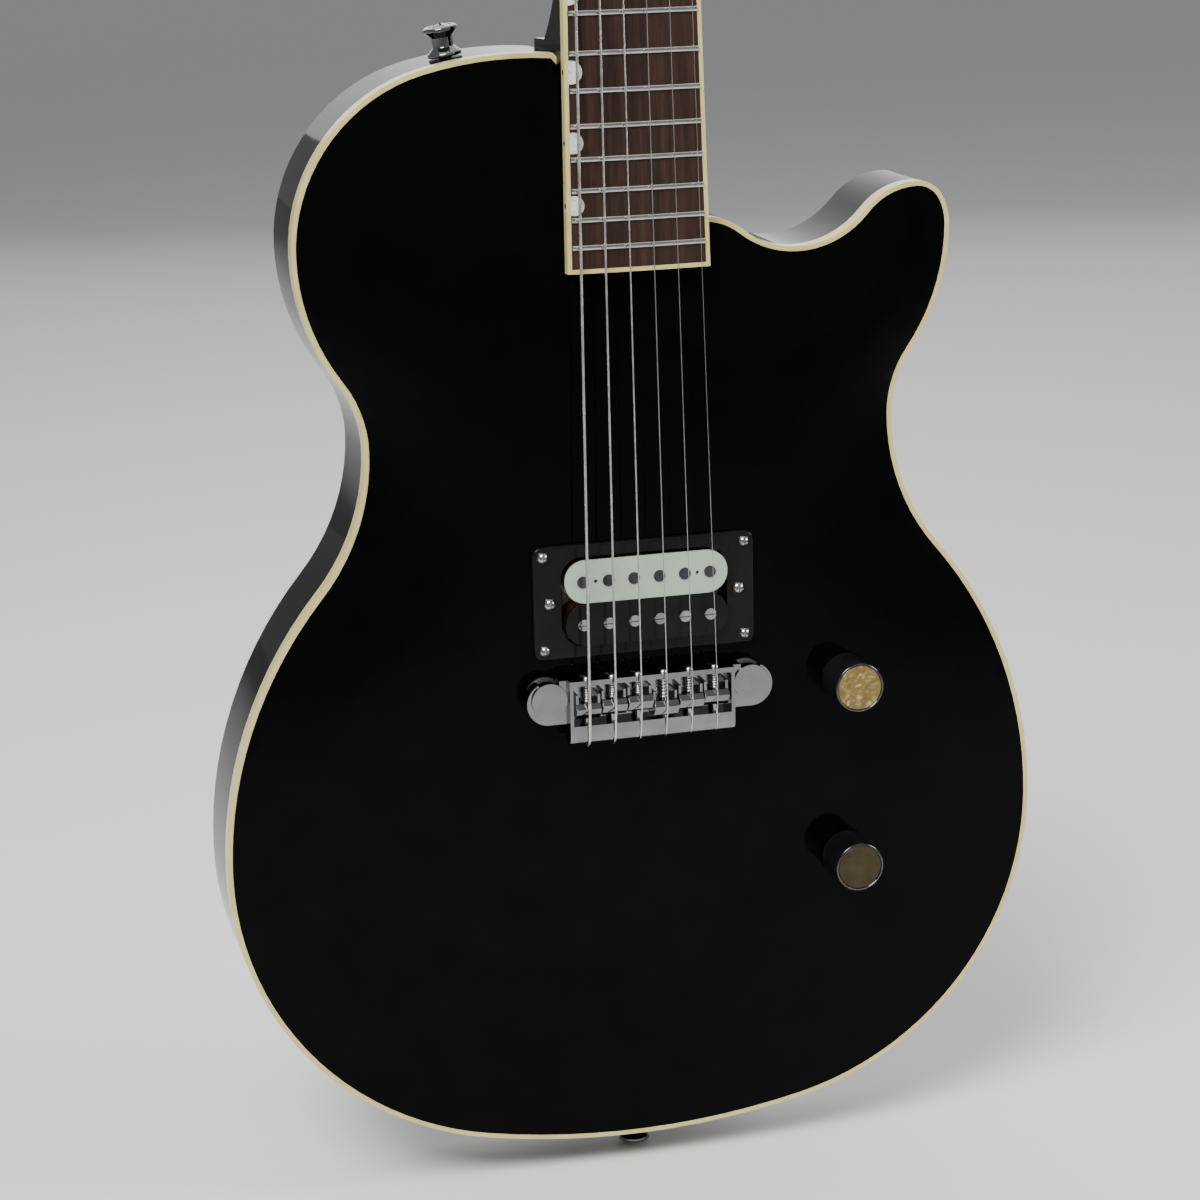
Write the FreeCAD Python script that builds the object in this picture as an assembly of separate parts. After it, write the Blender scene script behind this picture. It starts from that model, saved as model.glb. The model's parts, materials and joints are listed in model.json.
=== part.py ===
import FreeCAD, Part
import math
import os

# Electric guitar, single cutaway, carved top, set neck, one humbucker,
# wrap-around bridge.  Millimetres.  +Z runs up the neck, the face looks
# along -Y, +X is the treble side.  The origin is on the body's side at the
# tail, where the end strap button is screwed on, at mid depth.

V = FreeCAD.Vector
os.makedirs("parts", exist_ok=True)

# ---------------------------------------------------------------- sizes
scale_length = 625.0
fret_count = 22
string_radii = [0.584, 0.457, 0.33, 0.216, 0.165, 0.127]
spread_at_bridge = 52.3
spread_at_nut = 35.5
saddle_setback = [5.0, 4.0, 3.5, 6.4, 4.9, 4.3]

# body
bridge_from_tail = 196.5
rim_thickness = 43.0
arch_rise = 8.7
cap_rim = 6.5
binding_width = 2.0
back_round = 3.0
lower_half_width, lower_height = 168.0, -65.5
waist_half_width, waist_height = 107.0, 100.0
horn_half_width, horn_side_height = 131.2, 174.6
horn_tip_x, horn_tip_height = 117.6, 191.8
cutaway_x, cutaway_height = 68.0, 168.9
cutaway_neck_height = 182.6
upper_half_width, upper_height = 131.6, 176.0
shoulder_height = 247.5
neck_edge_x = 28.5
arch_centre_height = 35.0
arch_plateau = 0.4

# neck
neck_tilt = 1.93
board_over_bridge = 11.3
board_radius = 305.0
board_thickness = 5.6
board_end = 165.5
half_width_nut = 21.7
half_width_end = 28.3
board_binding = 1.7
fret_height = 1.0
fret_width = 2.4
tang_width = 0.55
tang_depth = 1.6
nut_length = 5.0
neck_depth_nut = 14.3
neck_depth_heel = 17.0
tenon_start = 169.0
tenon_y = 13.5
heel_end = 252.0
string_over_board = 3.4
string_over_nut = 1.5

# headstock
head_angle = 14.0
head_drop = 4.6
head_thickness = 15.0
head_length = 182.0
post_heights = [48.0, 90.0, 132.0]
post_spreads = [27.0, 28.5, 30.0]

# tuning machines
gear_teeth = 15
worm_pitch = 2.3
worm_pitch_radius = 2.45
thread_width = 0.6
post_radius = 3.0
post_top = 9.6
winding_depth = 6.4
turn_fit = 0.06
gear_depth = 5.5

# pickup
pickup_height = 36.6
ring_length, ring_width, ring_thickness = 89.8, 45.5, 3.0
ring_screw_x, ring_screw_z = 40.9, 18.8
height_screw_x = 38.45
pole_spread = 51.6
row_half = 8.6
bobbin_length, bobbin_width = 66.0, 17.2
pickup_front = 6.4

# bridge
stud_x, stud_height = 41.25, -0.5
deck = 12.4
bridge_foot = 2.2
nose_radius = 4.2
nose_height = -15.3
bay_front, bay_back = 5.0, -11.3
bay_half = 32.3
wall_front = 7.0
side_wall = 1.4
stud_head_radius = 7.2
bay_floor = 6.6
screw_level = 9.3
saddle_width = 9.9
saddle_fit = 0.05
string_gap = 0.06

# controls
knob_x = 84.0
knob_heights = [-5.0, -80.5]
knob_radius = 10.0
knob_top = 18.4
knob_bottom = 0.4
cap_radius = 9.2
cap_thickness = 1.6
pot_shaft_radius = 3.0
pot_shelf = -20.5
jack_bore = 3.25
jack_fit = 0.05

# ---------------------------------------------------------------- datums
edge_y = -rim_thickness / 2
back_y = rim_thickness / 2
top_y = edge_y - arch_rise
seam_y = edge_y + cap_rim
gear_radius = gear_teeth * worm_pitch / (2 * math.pi)
centre_distance = gear_radius + worm_pitch_radius
X, Y, Z = V(1, 0, 0), V(0, 1, 0), V(0, 0, 1)


def save(name, shape):
    solids = shape.Solids
    out = solids[0] if len(solids) == 1 else Part.makeCompound(solids)
    out.exportStep("parts/" + name + ".step")
    print(name, len(solids), round(sum(s.Volume for s in solids), 2), out.isValid())


def box(x0, x1, y0, y1, z0, z1):
    return Part.makeBox(x1 - x0, y1 - y0, z1 - z0, V(x0, y0, z0))


def rod(radius, start, end):
    axis = end.sub(start)
    return Part.makeCylinder(radius, axis.Length, start, axis)


def tube(outer, inner, start, end):
    return rod(outer, start, end).cut(rod(inner, start, end))


def fuse(shapes):
    out = shapes[0]
    return out.fuse(shapes[1:]).removeSplitter() if len(shapes) > 1 else out


def hexagon(flats, centre, axis, height):
    corners = []
    side = X if abs(axis.x) < 0.5 else Z
    up = axis.cross(side)
    for k in range(7):
        a = math.radians(60 * k)
        r = flats / math.sqrt(3)
        corners.append(centre.add(side.multiply(1).normalize() * (r * math.cos(a)))
                       .add(up * (r * math.sin(a))))
    return Part.Face(Part.makePolygon(corners)).extrude(axis * height)


def domedHead(radius, height, centre, axis):
    # low dome on a short rim, seen at the top of every screw
    ball = (radius * radius + height * height) / (2 * height)
    cap = Part.makeSphere(ball, centre.add(axis * (height - ball)))
    return rod(radius, centre, centre.add(axis * height)).common(cap)


def crossSlot(centre, axis, length, width, depth):
    side = X if abs(axis.x) < 0.5 else Z
    other = axis.cross(side)
    cuts = []
    for a, b in ((side, other), (other, side)):
        corner = centre.sub(a * (length / 2)).sub(b * (width / 2)).sub(axis * depth)
        pts = [corner, corner.add(a * length), corner.add(a * length).add(b * width),
               corner.add(b * width), corner]
        cuts.append(Part.Face(Part.makePolygon(pts)).extrude(axis * (depth * 3)))
    return cuts[0].fuse(cuts[1])


def arcEdge(start, tangent, end):
    # circular arc leaving start along tangent and reaching end
    chord = end.sub(start)
    t = V(tangent).normalize()
    along = chord.dot(t)
    across = chord.sub(t * along)
    if across.Length < 1e-6:
        return Part.makeLine(start, end), t
    turn = math.atan2(across.Length, along)
    n = V(across).normalize()
    mid = start.add(chord * 0.5).sub(
        (n * math.cos(turn) - t * math.sin(turn)) * (chord.Length / 2 * math.tan(turn / 2)))
    leave = t * math.cos(2 * turn) + n * math.sin(2 * turn)
    return Part.Arc(start, mid, end).toShape(), leave


def twoArcs(start, t0, end, t1, ratio):
    # two tangent arcs joining two directed points
    t0, t1 = V(t0).normalize(), V(t1).normalize()
    v = end.sub(start)
    a = 2 * ratio * (t0.dot(t1) - 1)
    b = -2 * (ratio * v.dot(t0) + v.dot(t1))
    c = v.dot(v)
    if abs(a) < 1e-9:
        d1 = -c / b
    else:
        root = math.sqrt(b * b - 4 * a * c)
        d1 = min(d for d in ((-b + root) / (2 * a), (-b - root) / (2 * a)) if d > 0)
    d0 = ratio * d1
    rest = v.sub(t0 * d0).sub(t1 * d1)
    joint = start.add(t0 * d0).add(rest * (d0 / (d0 + d1)))
    first, turn = arcEdge(start, t0, joint)
    second, turn = arcEdge(joint, turn, end)
    return [first, second]


def bodyOutline():
    def at(x, h):
        return V(x, 0, bridge_from_tail + h)
    tail = V(0, 0, 0)
    low_r, low_l = at(lower_half_width, lower_height), at(-lower_half_width, lower_height)
    waist_r, waist_l = at(waist_half_width, waist_height), at(-waist_half_width, waist_height)
    horn_r, tip = at(horn_half_width, horn_side_height), at(horn_tip_x, horn_tip_height)
    cut, corner = at(cutaway_x, cutaway_height), at(neck_edge_x, cutaway_neck_height)
    shoulder, upper = at(-neck_edge_x, shoulder_height), at(-upper_half_width, upper_height)
    left, down = V(-1, 0, 0), V(0, 0, -1)
    edges = twoArcs(tail, X, low_r, Z, 0.33)
    edges += twoArcs(low_r, Z, waist_r, Z, 2.0)
    edges += twoArcs(waist_r, Z, horn_r, Z, 0.5)
    edges += twoArcs(horn_r, Z, tip, left, 0.8)
    edges += twoArcs(tip, left, cut, left, 0.77)
    edges += twoArcs(cut, left, corner, V(-1, 0, -0.03), 1.32)
    edges.append(Part.makeLine(corner, shoulder))
    edges += twoArcs(shoulder, V(-1, 0, 0.09), upper, down, 0.48)
    edges += twoArcs(upper, down, waist_l, down, 1.9)
    edges += twoArcs(waist_l, down, low_l, down, 0.5)
    edges += twoArcs(low_l, down, tail, X, 3.03)
    return Part.Wire(edges)


def prism(wire, y0, y1):
    face = Part.Face(wire)
    face.translate(V(0, y0, 0))
    solid = face.extrude(V(0, y1 - y0, 0))
    if solid.Volume < 0:
        solid.reverse()
    return solid


def plateWire(x0, x1, z0, z1, r):
    # rounded rectangle in the XZ plane
    k = r * (1 - math.sqrt(0.5))
    p = [V(x0 + r, 0, z0), V(x1 - r, 0, z0), V(x1, 0, z0 + r), V(x1, 0, z1 - r),
         V(x1 - r, 0, z1), V(x0 + r, 0, z1), V(x0, 0, z1 - r), V(x0, 0, z0 + r)]
    mids = [V(x1 - k, 0, z0 + k), V(x1 - k, 0, z1 - k), V(x0 + k, 0, z1 - k), V(x0 + k, 0, z0 + k)]
    edges = []
    for i in range(4):
        edges.append(Part.makeLine(p[2 * i], p[2 * i + 1]))
        edges.append(Part.Arc(p[2 * i + 1], mids[i], p[(2 * i + 2) % 8]).toShape())
    return Part.Wire(edges)


def plate(x0, x1, z0, z1, r, y0, y1):
    return prism(plateWire(x0, x1, z0, z1, r), y0, y1)


def onNeck(shape):
    # neck frame: origin where the scale ends, y = 0 on the fingerboard
    out = shape.copy()
    out.rotate(V(0, 0, 0), X, -neck_tilt)
    out.translate(V(0, top_y - board_over_bridge, bridge_from_tail))
    return out


def onHead(shape):
    # headstock frame: origin at the nut's far edge, y = 0 on the head's face
    out = shape.copy()
    out.rotate(V(0, 0, 0), X, -head_angle)
    out.translate(V(0, head_drop, scale_length + nut_length))
    return onNeck(out)


def headToNeck(p):
    a = math.radians(head_angle)
    return V(p.x, p.y * math.cos(a) + p.z * math.sin(a) + head_drop,
             p.z * math.cos(a) - p.y * math.sin(a) + scale_length + nut_length)


def neckToBody(p):
    a = math.radians(neck_tilt)
    return V(p.x, p.y * math.cos(a) + p.z * math.sin(a) + top_y - board_over_bridge,
             p.z * math.cos(a) - p.y * math.sin(a) + bridge_from_tail)


def halfWidth(z):
    slope = (half_width_end - half_width_nut) / (scale_length - board_end)
    return half_width_end - slope * (z - board_end)


def crown(x):
    return board_radius - math.sqrt(board_radius ** 2 - x * x)


def fretAt(n):
    return scale_length * 2 ** (-n / 12.0)


def wedge(inset, y0, y1, z0, z1):
    # board outline between two stations
    a, b = halfWidth(z0) - inset, halfWidth(z1) - inset
    pts = [V(-a, 0, z0), V(a, 0, z0), V(b, 0, z1), V(-b, 0, z1), V(-a, 0, z0)]
    return prism(Part.makePolygon(pts), y0, y1)


# ---------------------------------------------------------------- body
outline = bodyOutline()
inner = outline.makeOffset2D(-binding_width)
if inner.BoundBox.XLength > outline.BoundBox.XLength:
    inner = outline.makeOffset2D(binding_width)

sections = []
for share in (1.0, 0.85, 0.7, 0.55, arch_plateau):
    run = (share - arch_plateau) / (1 - arch_plateau)
    ring = inner.copy()
    ring.scale(share, V(0, 0, bridge_from_tail + arch_centre_height))
    ring.translate(V(0, edge_y - arch_rise * (1 - run * run), 0))
    sections.append(ring)
arch = Part.makeLoft(sections, True, False)
cap_slab = prism(inner, edge_y, seam_y)

back = prism(outline, seam_y, back_y)
rim_edges = [e for e in back.Edges
             if abs(e.BoundBox.YMin - back_y) < 1e-4 and abs(e.BoundBox.YMax - back_y) < 1e-4]
try:
    back = back.makeFillet(back_round, rim_edges)
except Exception as problem:
    print("back edge left square:", problem)
top = cap_slab.fuse(arch).removeSplitter()
binding = prism(outline, edge_y, seam_y).cut(prism(inner, edge_y, seam_y))

# neck block, heel and shaft, in the neck frame


def neckSection(z, half, side, depth):
    top_line = board_thickness
    a, b = V(-half, top_line, z), V(half, top_line, z)
    c, d = V(half, top_line + side, z), V(-half, top_line + side, z)
    low = V(0, top_line + depth, z)
    return Part.Wire([Part.makeLine(a, b), Part.makeLine(b, c),
                      Part.Arc(c, low, d).toShape(), Part.makeLine(d, a)])


shaft_start = 300.0
heel_sections = [(heel_end, 26.0, 35.0), (264.0, 13.0, 27.5), (280.0, 4.0, 20.0),
                 (shaft_start, 1.2, neck_depth_heel)]
heel = Part.makeLoft([neckSection(z, halfWidth(z), s, d) for z, s, d in heel_sections],
                     True, False)
shaft = Part.makeLoft([neckSection(shaft_start, halfWidth(shaft_start), 1.2, neck_depth_heel),
                       neckSection(scale_length, half_width_nut, 1.0, neck_depth_nut)],
                      True, True)
head_start = Part.makeLoft([neckSection(scale_length, half_width_nut, 1.0, neck_depth_nut),
                            neckSection(scale_length + nut_length, half_width_nut, 1.0,
                                        neck_depth_nut)], True, True)


def headWire():
    # plain paddle with softly hollow sides and a shallow crest
    w0, w1, w2 = half_width_nut, 37.5, 40.5
    h = head_length
    return Part.Wire(
        twoArcs(V(w0, 0, -14), Z, V(w1, 0, 34), V(0.12, 0, 1), 1.0)
        + [Part.Arc(V(w1, 0, 34), V(w1 + 0.3, 0, 92), V(w2, 0, 150)).toShape()]
        + twoArcs(V(w2, 0, 150), V(0.08, 0, 1), V(0, 0, h), V(-1, 0, 0), 0.35)
        + twoArcs(V(0, 0, h), V(-1, 0, 0), V(-w2, 0, 150), V(-0.08, 0, -1), 2.85)
        + [Part.Arc(V(-w2, 0, 150), V(-w1 - 0.3, 0, 92), V(-w1, 0, 34)).toShape()]
        + twoArcs(V(-w1, 0, 34), V(-0.12, 0, -1), V(-w0, 0, -14), V(0, 0, -1), 1.0)
        + [Part.makeLine(V(-w0, 0, -14), V(w0, 0, -14))])


head_wire = headWire()
head_block = prism(head_wire, 0, head_thickness)
# everything on the nut side of the joint stays inside the shaft's section
joint_keep = box(-60, 60, -30, 60, 0, 200)
head_solid = onHead(head_block.common(joint_keep))
# volute: fills the corner behind the nut
volute = onNeck(Part.makeLoft(
    [neckSection(scale_length - 30, halfWidth(scale_length - 30), 1.0, 14.35),
     neckSection(scale_length - 4, half_width_nut, 3.0, 16.4),
     neckSection(scale_length + nut_length + 3, half_width_nut, 6.0, 18.2),
     neckSection(scale_length + nut_length + 20, half_width_nut + 0.5, 8.0, 19.6)],
    True, False))
face_cut = onHead(box(-60, 60, -40, 0, 0, 250))
volute = volute.cut(face_cut)

block = onNeck(wedge(0.0, board_thickness, 80.0, tenon_start, heel_end + 0.5))
block = block.common(box(-60, 60, -80, tenon_y, 0, 800))
neck = fuse([block, onNeck(heel), onNeck(shaft), onNeck(head_start), volute, head_solid])

body_socket = block
body_prism = prism(outline, top_y - 12, back_y)
# the heel stops where the body's side begins
heel_below = onNeck(heel).common(body_prism).cut(block)
if heel_below.Volume > 0.01:
    neck = neck.cut(box(-40, 40, tenon_y, 60, 0, bridge_from_tail + 400).common(body_prism))
top = top.cut(body_socket)
back = back.cut(body_socket)
binding = binding.cut(body_socket)

# pickup cavity with room for the legs, and the control cavity
pz = bridge_from_tail + pickup_height
cavity_floor = top_y + 26.0
pickup_cavity = plate(-36.5, 36.5, pz - 20.5, pz + 20.5, 6, top_y - 1, cavity_floor)
leg_pockets = plate(-43.0, 43.0, pz - 8, pz + 8, 4, top_y - 1, cavity_floor + 5)
bz = bridge_from_tail
control_x0, control_x1 = 60.0, 112.0
control_z0, control_z1 = bz - 106.0, bz + 18.0
control_wire = (control_x0, control_x1, control_z0, control_z1, 14.0)
control_cavity = plate(*control_wire, pot_shelf, back_y + 1)
cover_margin = 5.0
cover_thickness = 2.0
cover_fit = 0.15


def coverPlate(grow, y0, y1):
    return plate(control_x0 - grow, control_x1 + grow, control_z0 - grow,
                 control_z1 + grow, 14.0 + grow, y0, y1)


cover_rebate = coverPlate(cover_margin + cover_fit, back_y - cover_thickness, back_y + 1)
channel = rod(4.0, V(30, top_y + 20, pz - 8), V(66, top_y + 20, bz - 2))
jack_z = bz + lower_height
jack_hole = rod(9.0 + jack_fit, V(control_x1 - 6, 0, jack_z), V(lower_half_width + 2, 0, jack_z))
jack_seat = rod(14.0 + jack_fit, V(lower_half_width - 1.4, 0, jack_z), V(lower_half_width + 4, 0, jack_z))
anchor_bottom = top_y + 24.0
ground_hole = rod(1.6, V(stud_x, anchor_bottom - 4, bz + stud_height),
                  V(control_x0 + 4, anchor_bottom - 4, bz - 12))
voids = [pickup_cavity, leg_pockets, control_cavity, channel, ground_hole]
for sx in (-1, 1):
    voids.append(rod(5.5, V(sx * stud_x, top_y - 1, bz + stud_height),
                     V(sx * stud_x, anchor_bottom, bz + stud_height)))
for kh in knob_heights:
    voids.append(rod(4.85, V(knob_x, top_y - 1, bz + kh), V(knob_x, pot_shelf + 1, bz + kh)))

# wood screws, all the same: head radius 2.3, shank radius 1.2
screw_list = []


def woodScrew(place, axis, length):
    # place: seat of the head; axis points out of the wood
    head = domedHead(2.3, 1.7, place, axis).cut(
        crossSlot(place.add(axis * 1.8), axis, 2.8, 0.55, 1.1))
    shank = rod(1.15, place.sub(axis * length), place)
    return head.fuse(shank).removeSplitter()


def screwHole(place, axis, length):
    return rod(1.15, place.sub(axis * length), place.add(axis * 0.01))


for part_void in voids + [jack_hole, jack_seat, cover_rebate]:
    back = back.cut(part_void)
for part_void in voids:
    top = top.cut(part_void)

front = V(0, -1, 0)
rear = V(0, 1, 0)
ring_places = [V(sx * ring_screw_x, top_y - ring_thickness, pz + sz * ring_screw_z)
               for sx in (-1, 1) for sz in (-1, 1)]
cover_places = [V(x, back_y, z) for x in (control_x0 - 1, control_x1 + 1)
                for z in (control_z0 + 16, control_z1 - 16)]
for place in ring_places:
    screw_list.append(woodScrew(place, front, 15.0))
    top = top.cut(screwHole(place, front, 15.0))
for place in cover_places:
    screw_list.append(woodScrew(place, rear, 11.0))
    back = back.cut(screwHole(place, rear, 11.0))

# strap buttons on the side: end button at the origin, upper button on the shoulder


def buttonPlace():
    # point on the bass shoulder and its outward direction
    shoulder_edge = [e for e in outline.Edges
                     if e.BoundBox.ZMax > bridge_from_tail + 240 and e.BoundBox.XMin < -60]
    edge = min(shoulder_edge, key=lambda e: abs(e.CenterOfMass.x + 66))
    u = edge.Curve.parameter(V(-66, 0, bridge_from_tail + 250))
    point = edge.Curve.value(u)
    away = point.sub(edge.Curve.Center)
    return point, away.normalize()


upper_point, upper_axis = buttonPlace()


def strapButton(at, axis):
    profile = [(2.6, 0.0), (6.6, 0.0), (6.6, 1.2), (4.0, 3.6), (4.0, 7.2), (6.5, 9.6),
               (6.5, 10.8), (5.6, 11.4), (4.4, 11.4), (4.4, 10.9), (2.6, 9.0)]
    pts = [V(r, 0, h) for r, h in profile] + [V(profile[0][0], 0, profile[0][1])]
    body = Part.Face(Part.makePolygon(pts)).revolve(V(0, 0, 0), Z, 360)
    body = Part.Solid(body) if body.ShapeType != "Solid" else body
    turn = FreeCAD.Rotation(Z, axis)
    body.Placement = FreeCAD.Placement(at.add(axis * 0.0), turn)
    return body


def strapScrew(at, axis):
    head = rod(4.3, at.add(axis * 9.2), at.add(axis * 10.8))
    cone = Part.makeCone(2.4, 4.3, 1.9, at.add(axis * 9.0), axis)
    shank = rod(2.3, at.sub(axis * 24), at.add(axis * 10))
    whole = head.common(cone).fuse(shank)
    ball = domedHead(4.2, 1.5, at.add(axis * 10.8), axis)
    whole = whole.fuse(ball).removeSplitter()
    return whole.cut(crossSlot(at.add(axis * 12.3), axis, 5.0, 0.9, 1.6))


button_sites = [(V(0, 0, 0), V(0, 0, -1)), (upper_point, upper_axis)]
buttons, button_screws = [], []
for at, axis in button_sites:
    base = at.add(axis * 0.35)
    buttons.append(strapButton(base, axis))

    button_screws.append(strapScrew(base, axis))
    back = back.cut(rod(2.3, at.sub(axis * 26), at.add(axis * 5)))

save("body_back", back)
save("body_top", top)
save("top_binding", binding)

# ---------------------------------------------------------------- fingerboard
blank = wedge(0.0, -1.0, board_thickness, board_end, scale_length)
crown_cylinder = rod(board_radius, V(0, board_radius, board_end - 5),
                     V(0, board_radius, scale_length + 75))
blank = blank.common(crown_cylinder)
wood_zone = wedge(board_binding, -2, board_thickness + 1, board_end, scale_length)
wood_zone = wood_zone.cut(box(-60, 60, -5, 10, board_end - 1, board_end + board_binding))
board_edge = blank.cut(wood_zone)

marker_frets = [1, 3, 5, 7, 9, 12, 15, 17, 19, 21]
inlay_depth = 1.2
inlay_width = 5.2
inlays, inlaid_zone = [], wood_zone
for n in marker_frets:
    far, near = fretAt(n - 1), fretAt(n)
    middle, half = (far + near) / 2, 0.31 * (far - near)
    xa = -(halfWidth(middle - half) - board_binding)
    xb = -(halfWidth(middle + half) - board_binding)
    xm = -(halfWidth(middle) - board_binding) + inlay_width
    bow = Part.Arc(V(xb, 0, middle + half), V(xm, 0, middle), V(xa, 0, middle - half)).toShape()
    ends = [V(xa, 0, middle - half), V(xa - 0.8, 0, middle - half),
            V(xb - 0.8, 0, middle + half), V(xb, 0, middle + half)]
    half_moon = Part.Wire([Part.makeLine(a, b) for a, b in zip(ends, ends[1:])] + [bow])
    seat = prism(half_moon, -2.0, crown(halfWidth(middle)) + inlay_depth)
    inlays.append(seat.common(crown_cylinder).common(wood_zone))
    inlaid_zone = inlaid_zone.cut(seat)
board = blank.common(inlaid_zone)

frets, slots = [], []
for n in range(1, fret_count + 1):
    z = fretAt(n)
    half = halfWidth(z) - board_binding
    bow = Part.Arc(V(0, 0, z - fret_width / 2), V(0, -fret_height, z),
                   V(0, 0, z + fret_width / 2)).toShape()
    bead = Part.Face(Part.Wire([bow, Part.makeLine(V(0, 0, z + fret_width / 2),
                                                   V(0, 0, z - fret_width / 2))]))
    sweep = 2 * math.degrees(math.asin((half - 0.25) / board_radius))
    bead.rotate(V(0, board_radius, 0), Z, -sweep / 2)
    bead = bead.revolve(V(0, board_radius, 0), Z, sweep)
    low = crown(half) + tang_depth
    tang = box(-half + 0.25, half - 0.25, -0.5, low, z - tang_width / 2, z + tang_width / 2)
    tang = tang.common(crown_cylinder)
    frets.append(bead.fuse(tang).removeSplitter())
    slots.append(box(-half, half, -3, low, z - tang_width / 2, z + tang_width / 2))
board = board.cut(Part.makeCompound(slots))

dots, dot_seats = [], []
for n in marker_frets:
    middle = (fretAt(n - 1) + fretAt(n)) / 2
    for z in ([middle - 4, middle + 4] if n == 12 else [middle]):
        x = -halfWidth(z)
        seat = rod(1.0, V(x - 2, 3.2, z), V(x + 1.2, 3.2, z))
        dot_seats.append(seat)
        dots.append(seat.common(wedge(0.0, 0, board_thickness, z - 3, z + 3)))
board_edge = board_edge.cut(Part.makeCompound(dot_seats))

save("fingerboard", onNeck(board))
save("fingerboard_binding", onNeck(board_edge))
save("frets", onNeck(Part.makeCompound(frets)))
save("position_markers", onNeck(Part.makeCompound(inlays + dots)))

# ---------------------------------------------------------------- string lines


def stringX(i, spread):
    return -spread / 2 + i * spread / 5


saddle_points, nut_points = [], []
for i in range(6):
    xs, xn = stringX(i, spread_at_bridge), stringX(i, spread_at_nut)
    saddle_points.append(neckToBody(V(xs, crown(xs) - string_over_board, -saddle_setback[i])))
    nut_points.append(neckToBody(V(xn, crown(xn) - string_over_nut, scale_length + 0.3)))

# nut with a slot under each string
nut_far = scale_length + nut_length
nut_block = wedge(0.0, -2.6, board_thickness, scale_length, nut_far)
nut_block = nut_block.common(rod(board_radius, V(0, board_radius - 2.3, scale_length - 20),
                                 V(0, board_radius - 2.3, nut_far + 20)))
neck = neck.cut(onNeck(nut_block))
for i in range(6):
    xn = stringX(i, spread_at_nut)
    r = string_radii[i] + 0.02
    level = crown(xn) - string_over_nut
    nut_block = nut_block.cut(box(xn - r, xn + r, -6, level, scale_length - 1, nut_far + 1))
    nut_block = nut_block.cut(rod(r, V(xn, level - 0.4, scale_length - 2),
                                  V(xn, level + 0.5, nut_far + 2)))
nut_block = onNeck(nut_block.cut(box(-40, 40, -8, -1.0, nut_far - 1.5, nut_far + 1)))

# truss rod in its channel under the board, nut in a pocket behind the string nut
rod_y = board_thickness + 5.0
truss_end = nut_far + 0.5
truss = rod(3.0, V(0, rod_y, 185), V(0, rod_y, truss_end))
truss_nut = hexagon(6.4, V(0, rod_y, truss_end), Z, 9)
truss_nut = truss_nut.cut(hexagon(4.0, V(0, rod_y, truss_end + 3), Z, 10))
truss_rod = truss.fuse(truss_nut).removeSplitter()
truss_channel = box(-3.0, 3.0, board_thickness - 0.01, rod_y, 184, truss_end)
truss_channel = truss_channel.fuse(rod(3.0, V(0, rod_y, 184), V(0, rod_y, truss_end)))
neck = neck.cut(onNeck(truss_channel))
truss_pocket = box(-5.5, 5.5, board_thickness - 0.01, rod_y + 5.5,
                   scale_length + 1.9, scale_length + 19)
head_pocket = plate(-5.5, 5.5, -1, 22, 3, -8, 9)
neck = neck.cut(onNeck(truss_pocket)).cut(onHead(head_pocket))
save("truss_rod", onNeck(truss_rod))

# ---------------------------------------------------------------- headstock
cover_wire = Part.Wire([
    Part.makeLine(V(-10, 0, 2.2), V(10, 0, 2.2)),
    Part.Arc(V(10, 0, 2.2), V(7.4, 0, 16), V(0, 0, 31)).toShape(),
    Part.Arc(V(0, 0, 31), V(-7.4, 0, 16), V(-10, 0, 2.2)).toShape()])
truss_cover = prism(cover_wire, -2.0, 0)
truss_places = [V(0, -2.0, 26.0)]
tuner_sites = []
for side in (-1, 1):
    for k in range(3):
        tuner_sites.append((side, side * post_spreads[k], post_heights[k]))
# string order: low strings on the bass side nearest the nut first
string_sites = [tuner_sites[0], tuner_sites[1], tuner_sites[2],
                tuner_sites[5], tuner_sites[4], tuner_sites[3]]

head_cuts, bushings = [], []
for side, px, ph in tuner_sites:
    head_cuts.append(rod(4.9, V(px, -1, ph), V(px, head_thickness + 1, ph)))
    lining = tube(4.9, post_radius + turn_fit, V(px, -2.0, ph), V(px, head_thickness - 3, ph))
    washer = tube(7.6, 4.9, V(px, -0.8, ph), V(px, 0, ph))
    ring_nut = hexagon(11.0, V(px, -0.8, ph), V(0, -1, 0), 2.4)
    ring_nut = ring_nut.cut(rod(post_radius + turn_fit, V(px, -4, ph), V(px, 1, ph)))
    bushings.append(fuse([lining.cut(box(px - 9, px + 9, -3, -0.8, ph - 9, ph + 9)),
                          washer, ring_nut]))
head_cut = Part.makeCompound(head_cuts)
neck = neck.cut(onHead(head_cut))

# tuning machine about its own post: post along Y, worm along X at +Z
thread_tilt = math.degrees(math.atan(worm_pitch / (4 * worm_pitch_radius)))
worm_root, worm_tip = 2.0, 2.9
button_reach = 21.5


def wormThread():
    rings = []
    for k in range(-3, 3):
        half = tube(worm_tip, 1.4, V(-thread_width / 2, 0, 0), V(thread_width / 2, 0, 0))
        even = k % 2 == 0
        keep = box(-2, 2, -0.06, 5, -5, 5) if even else box(-2, 2, -5, 0.06, -5, 5)
        half = half.common(keep)
        half.rotate(V(0, 0, 0), Y, thread_tilt if even else -thread_tilt)
        half.translate(V(worm_pitch / 2 + (k + 0.5) * worm_pitch / 2, 0, 0))
        rings.append(half)
    return rings


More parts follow.
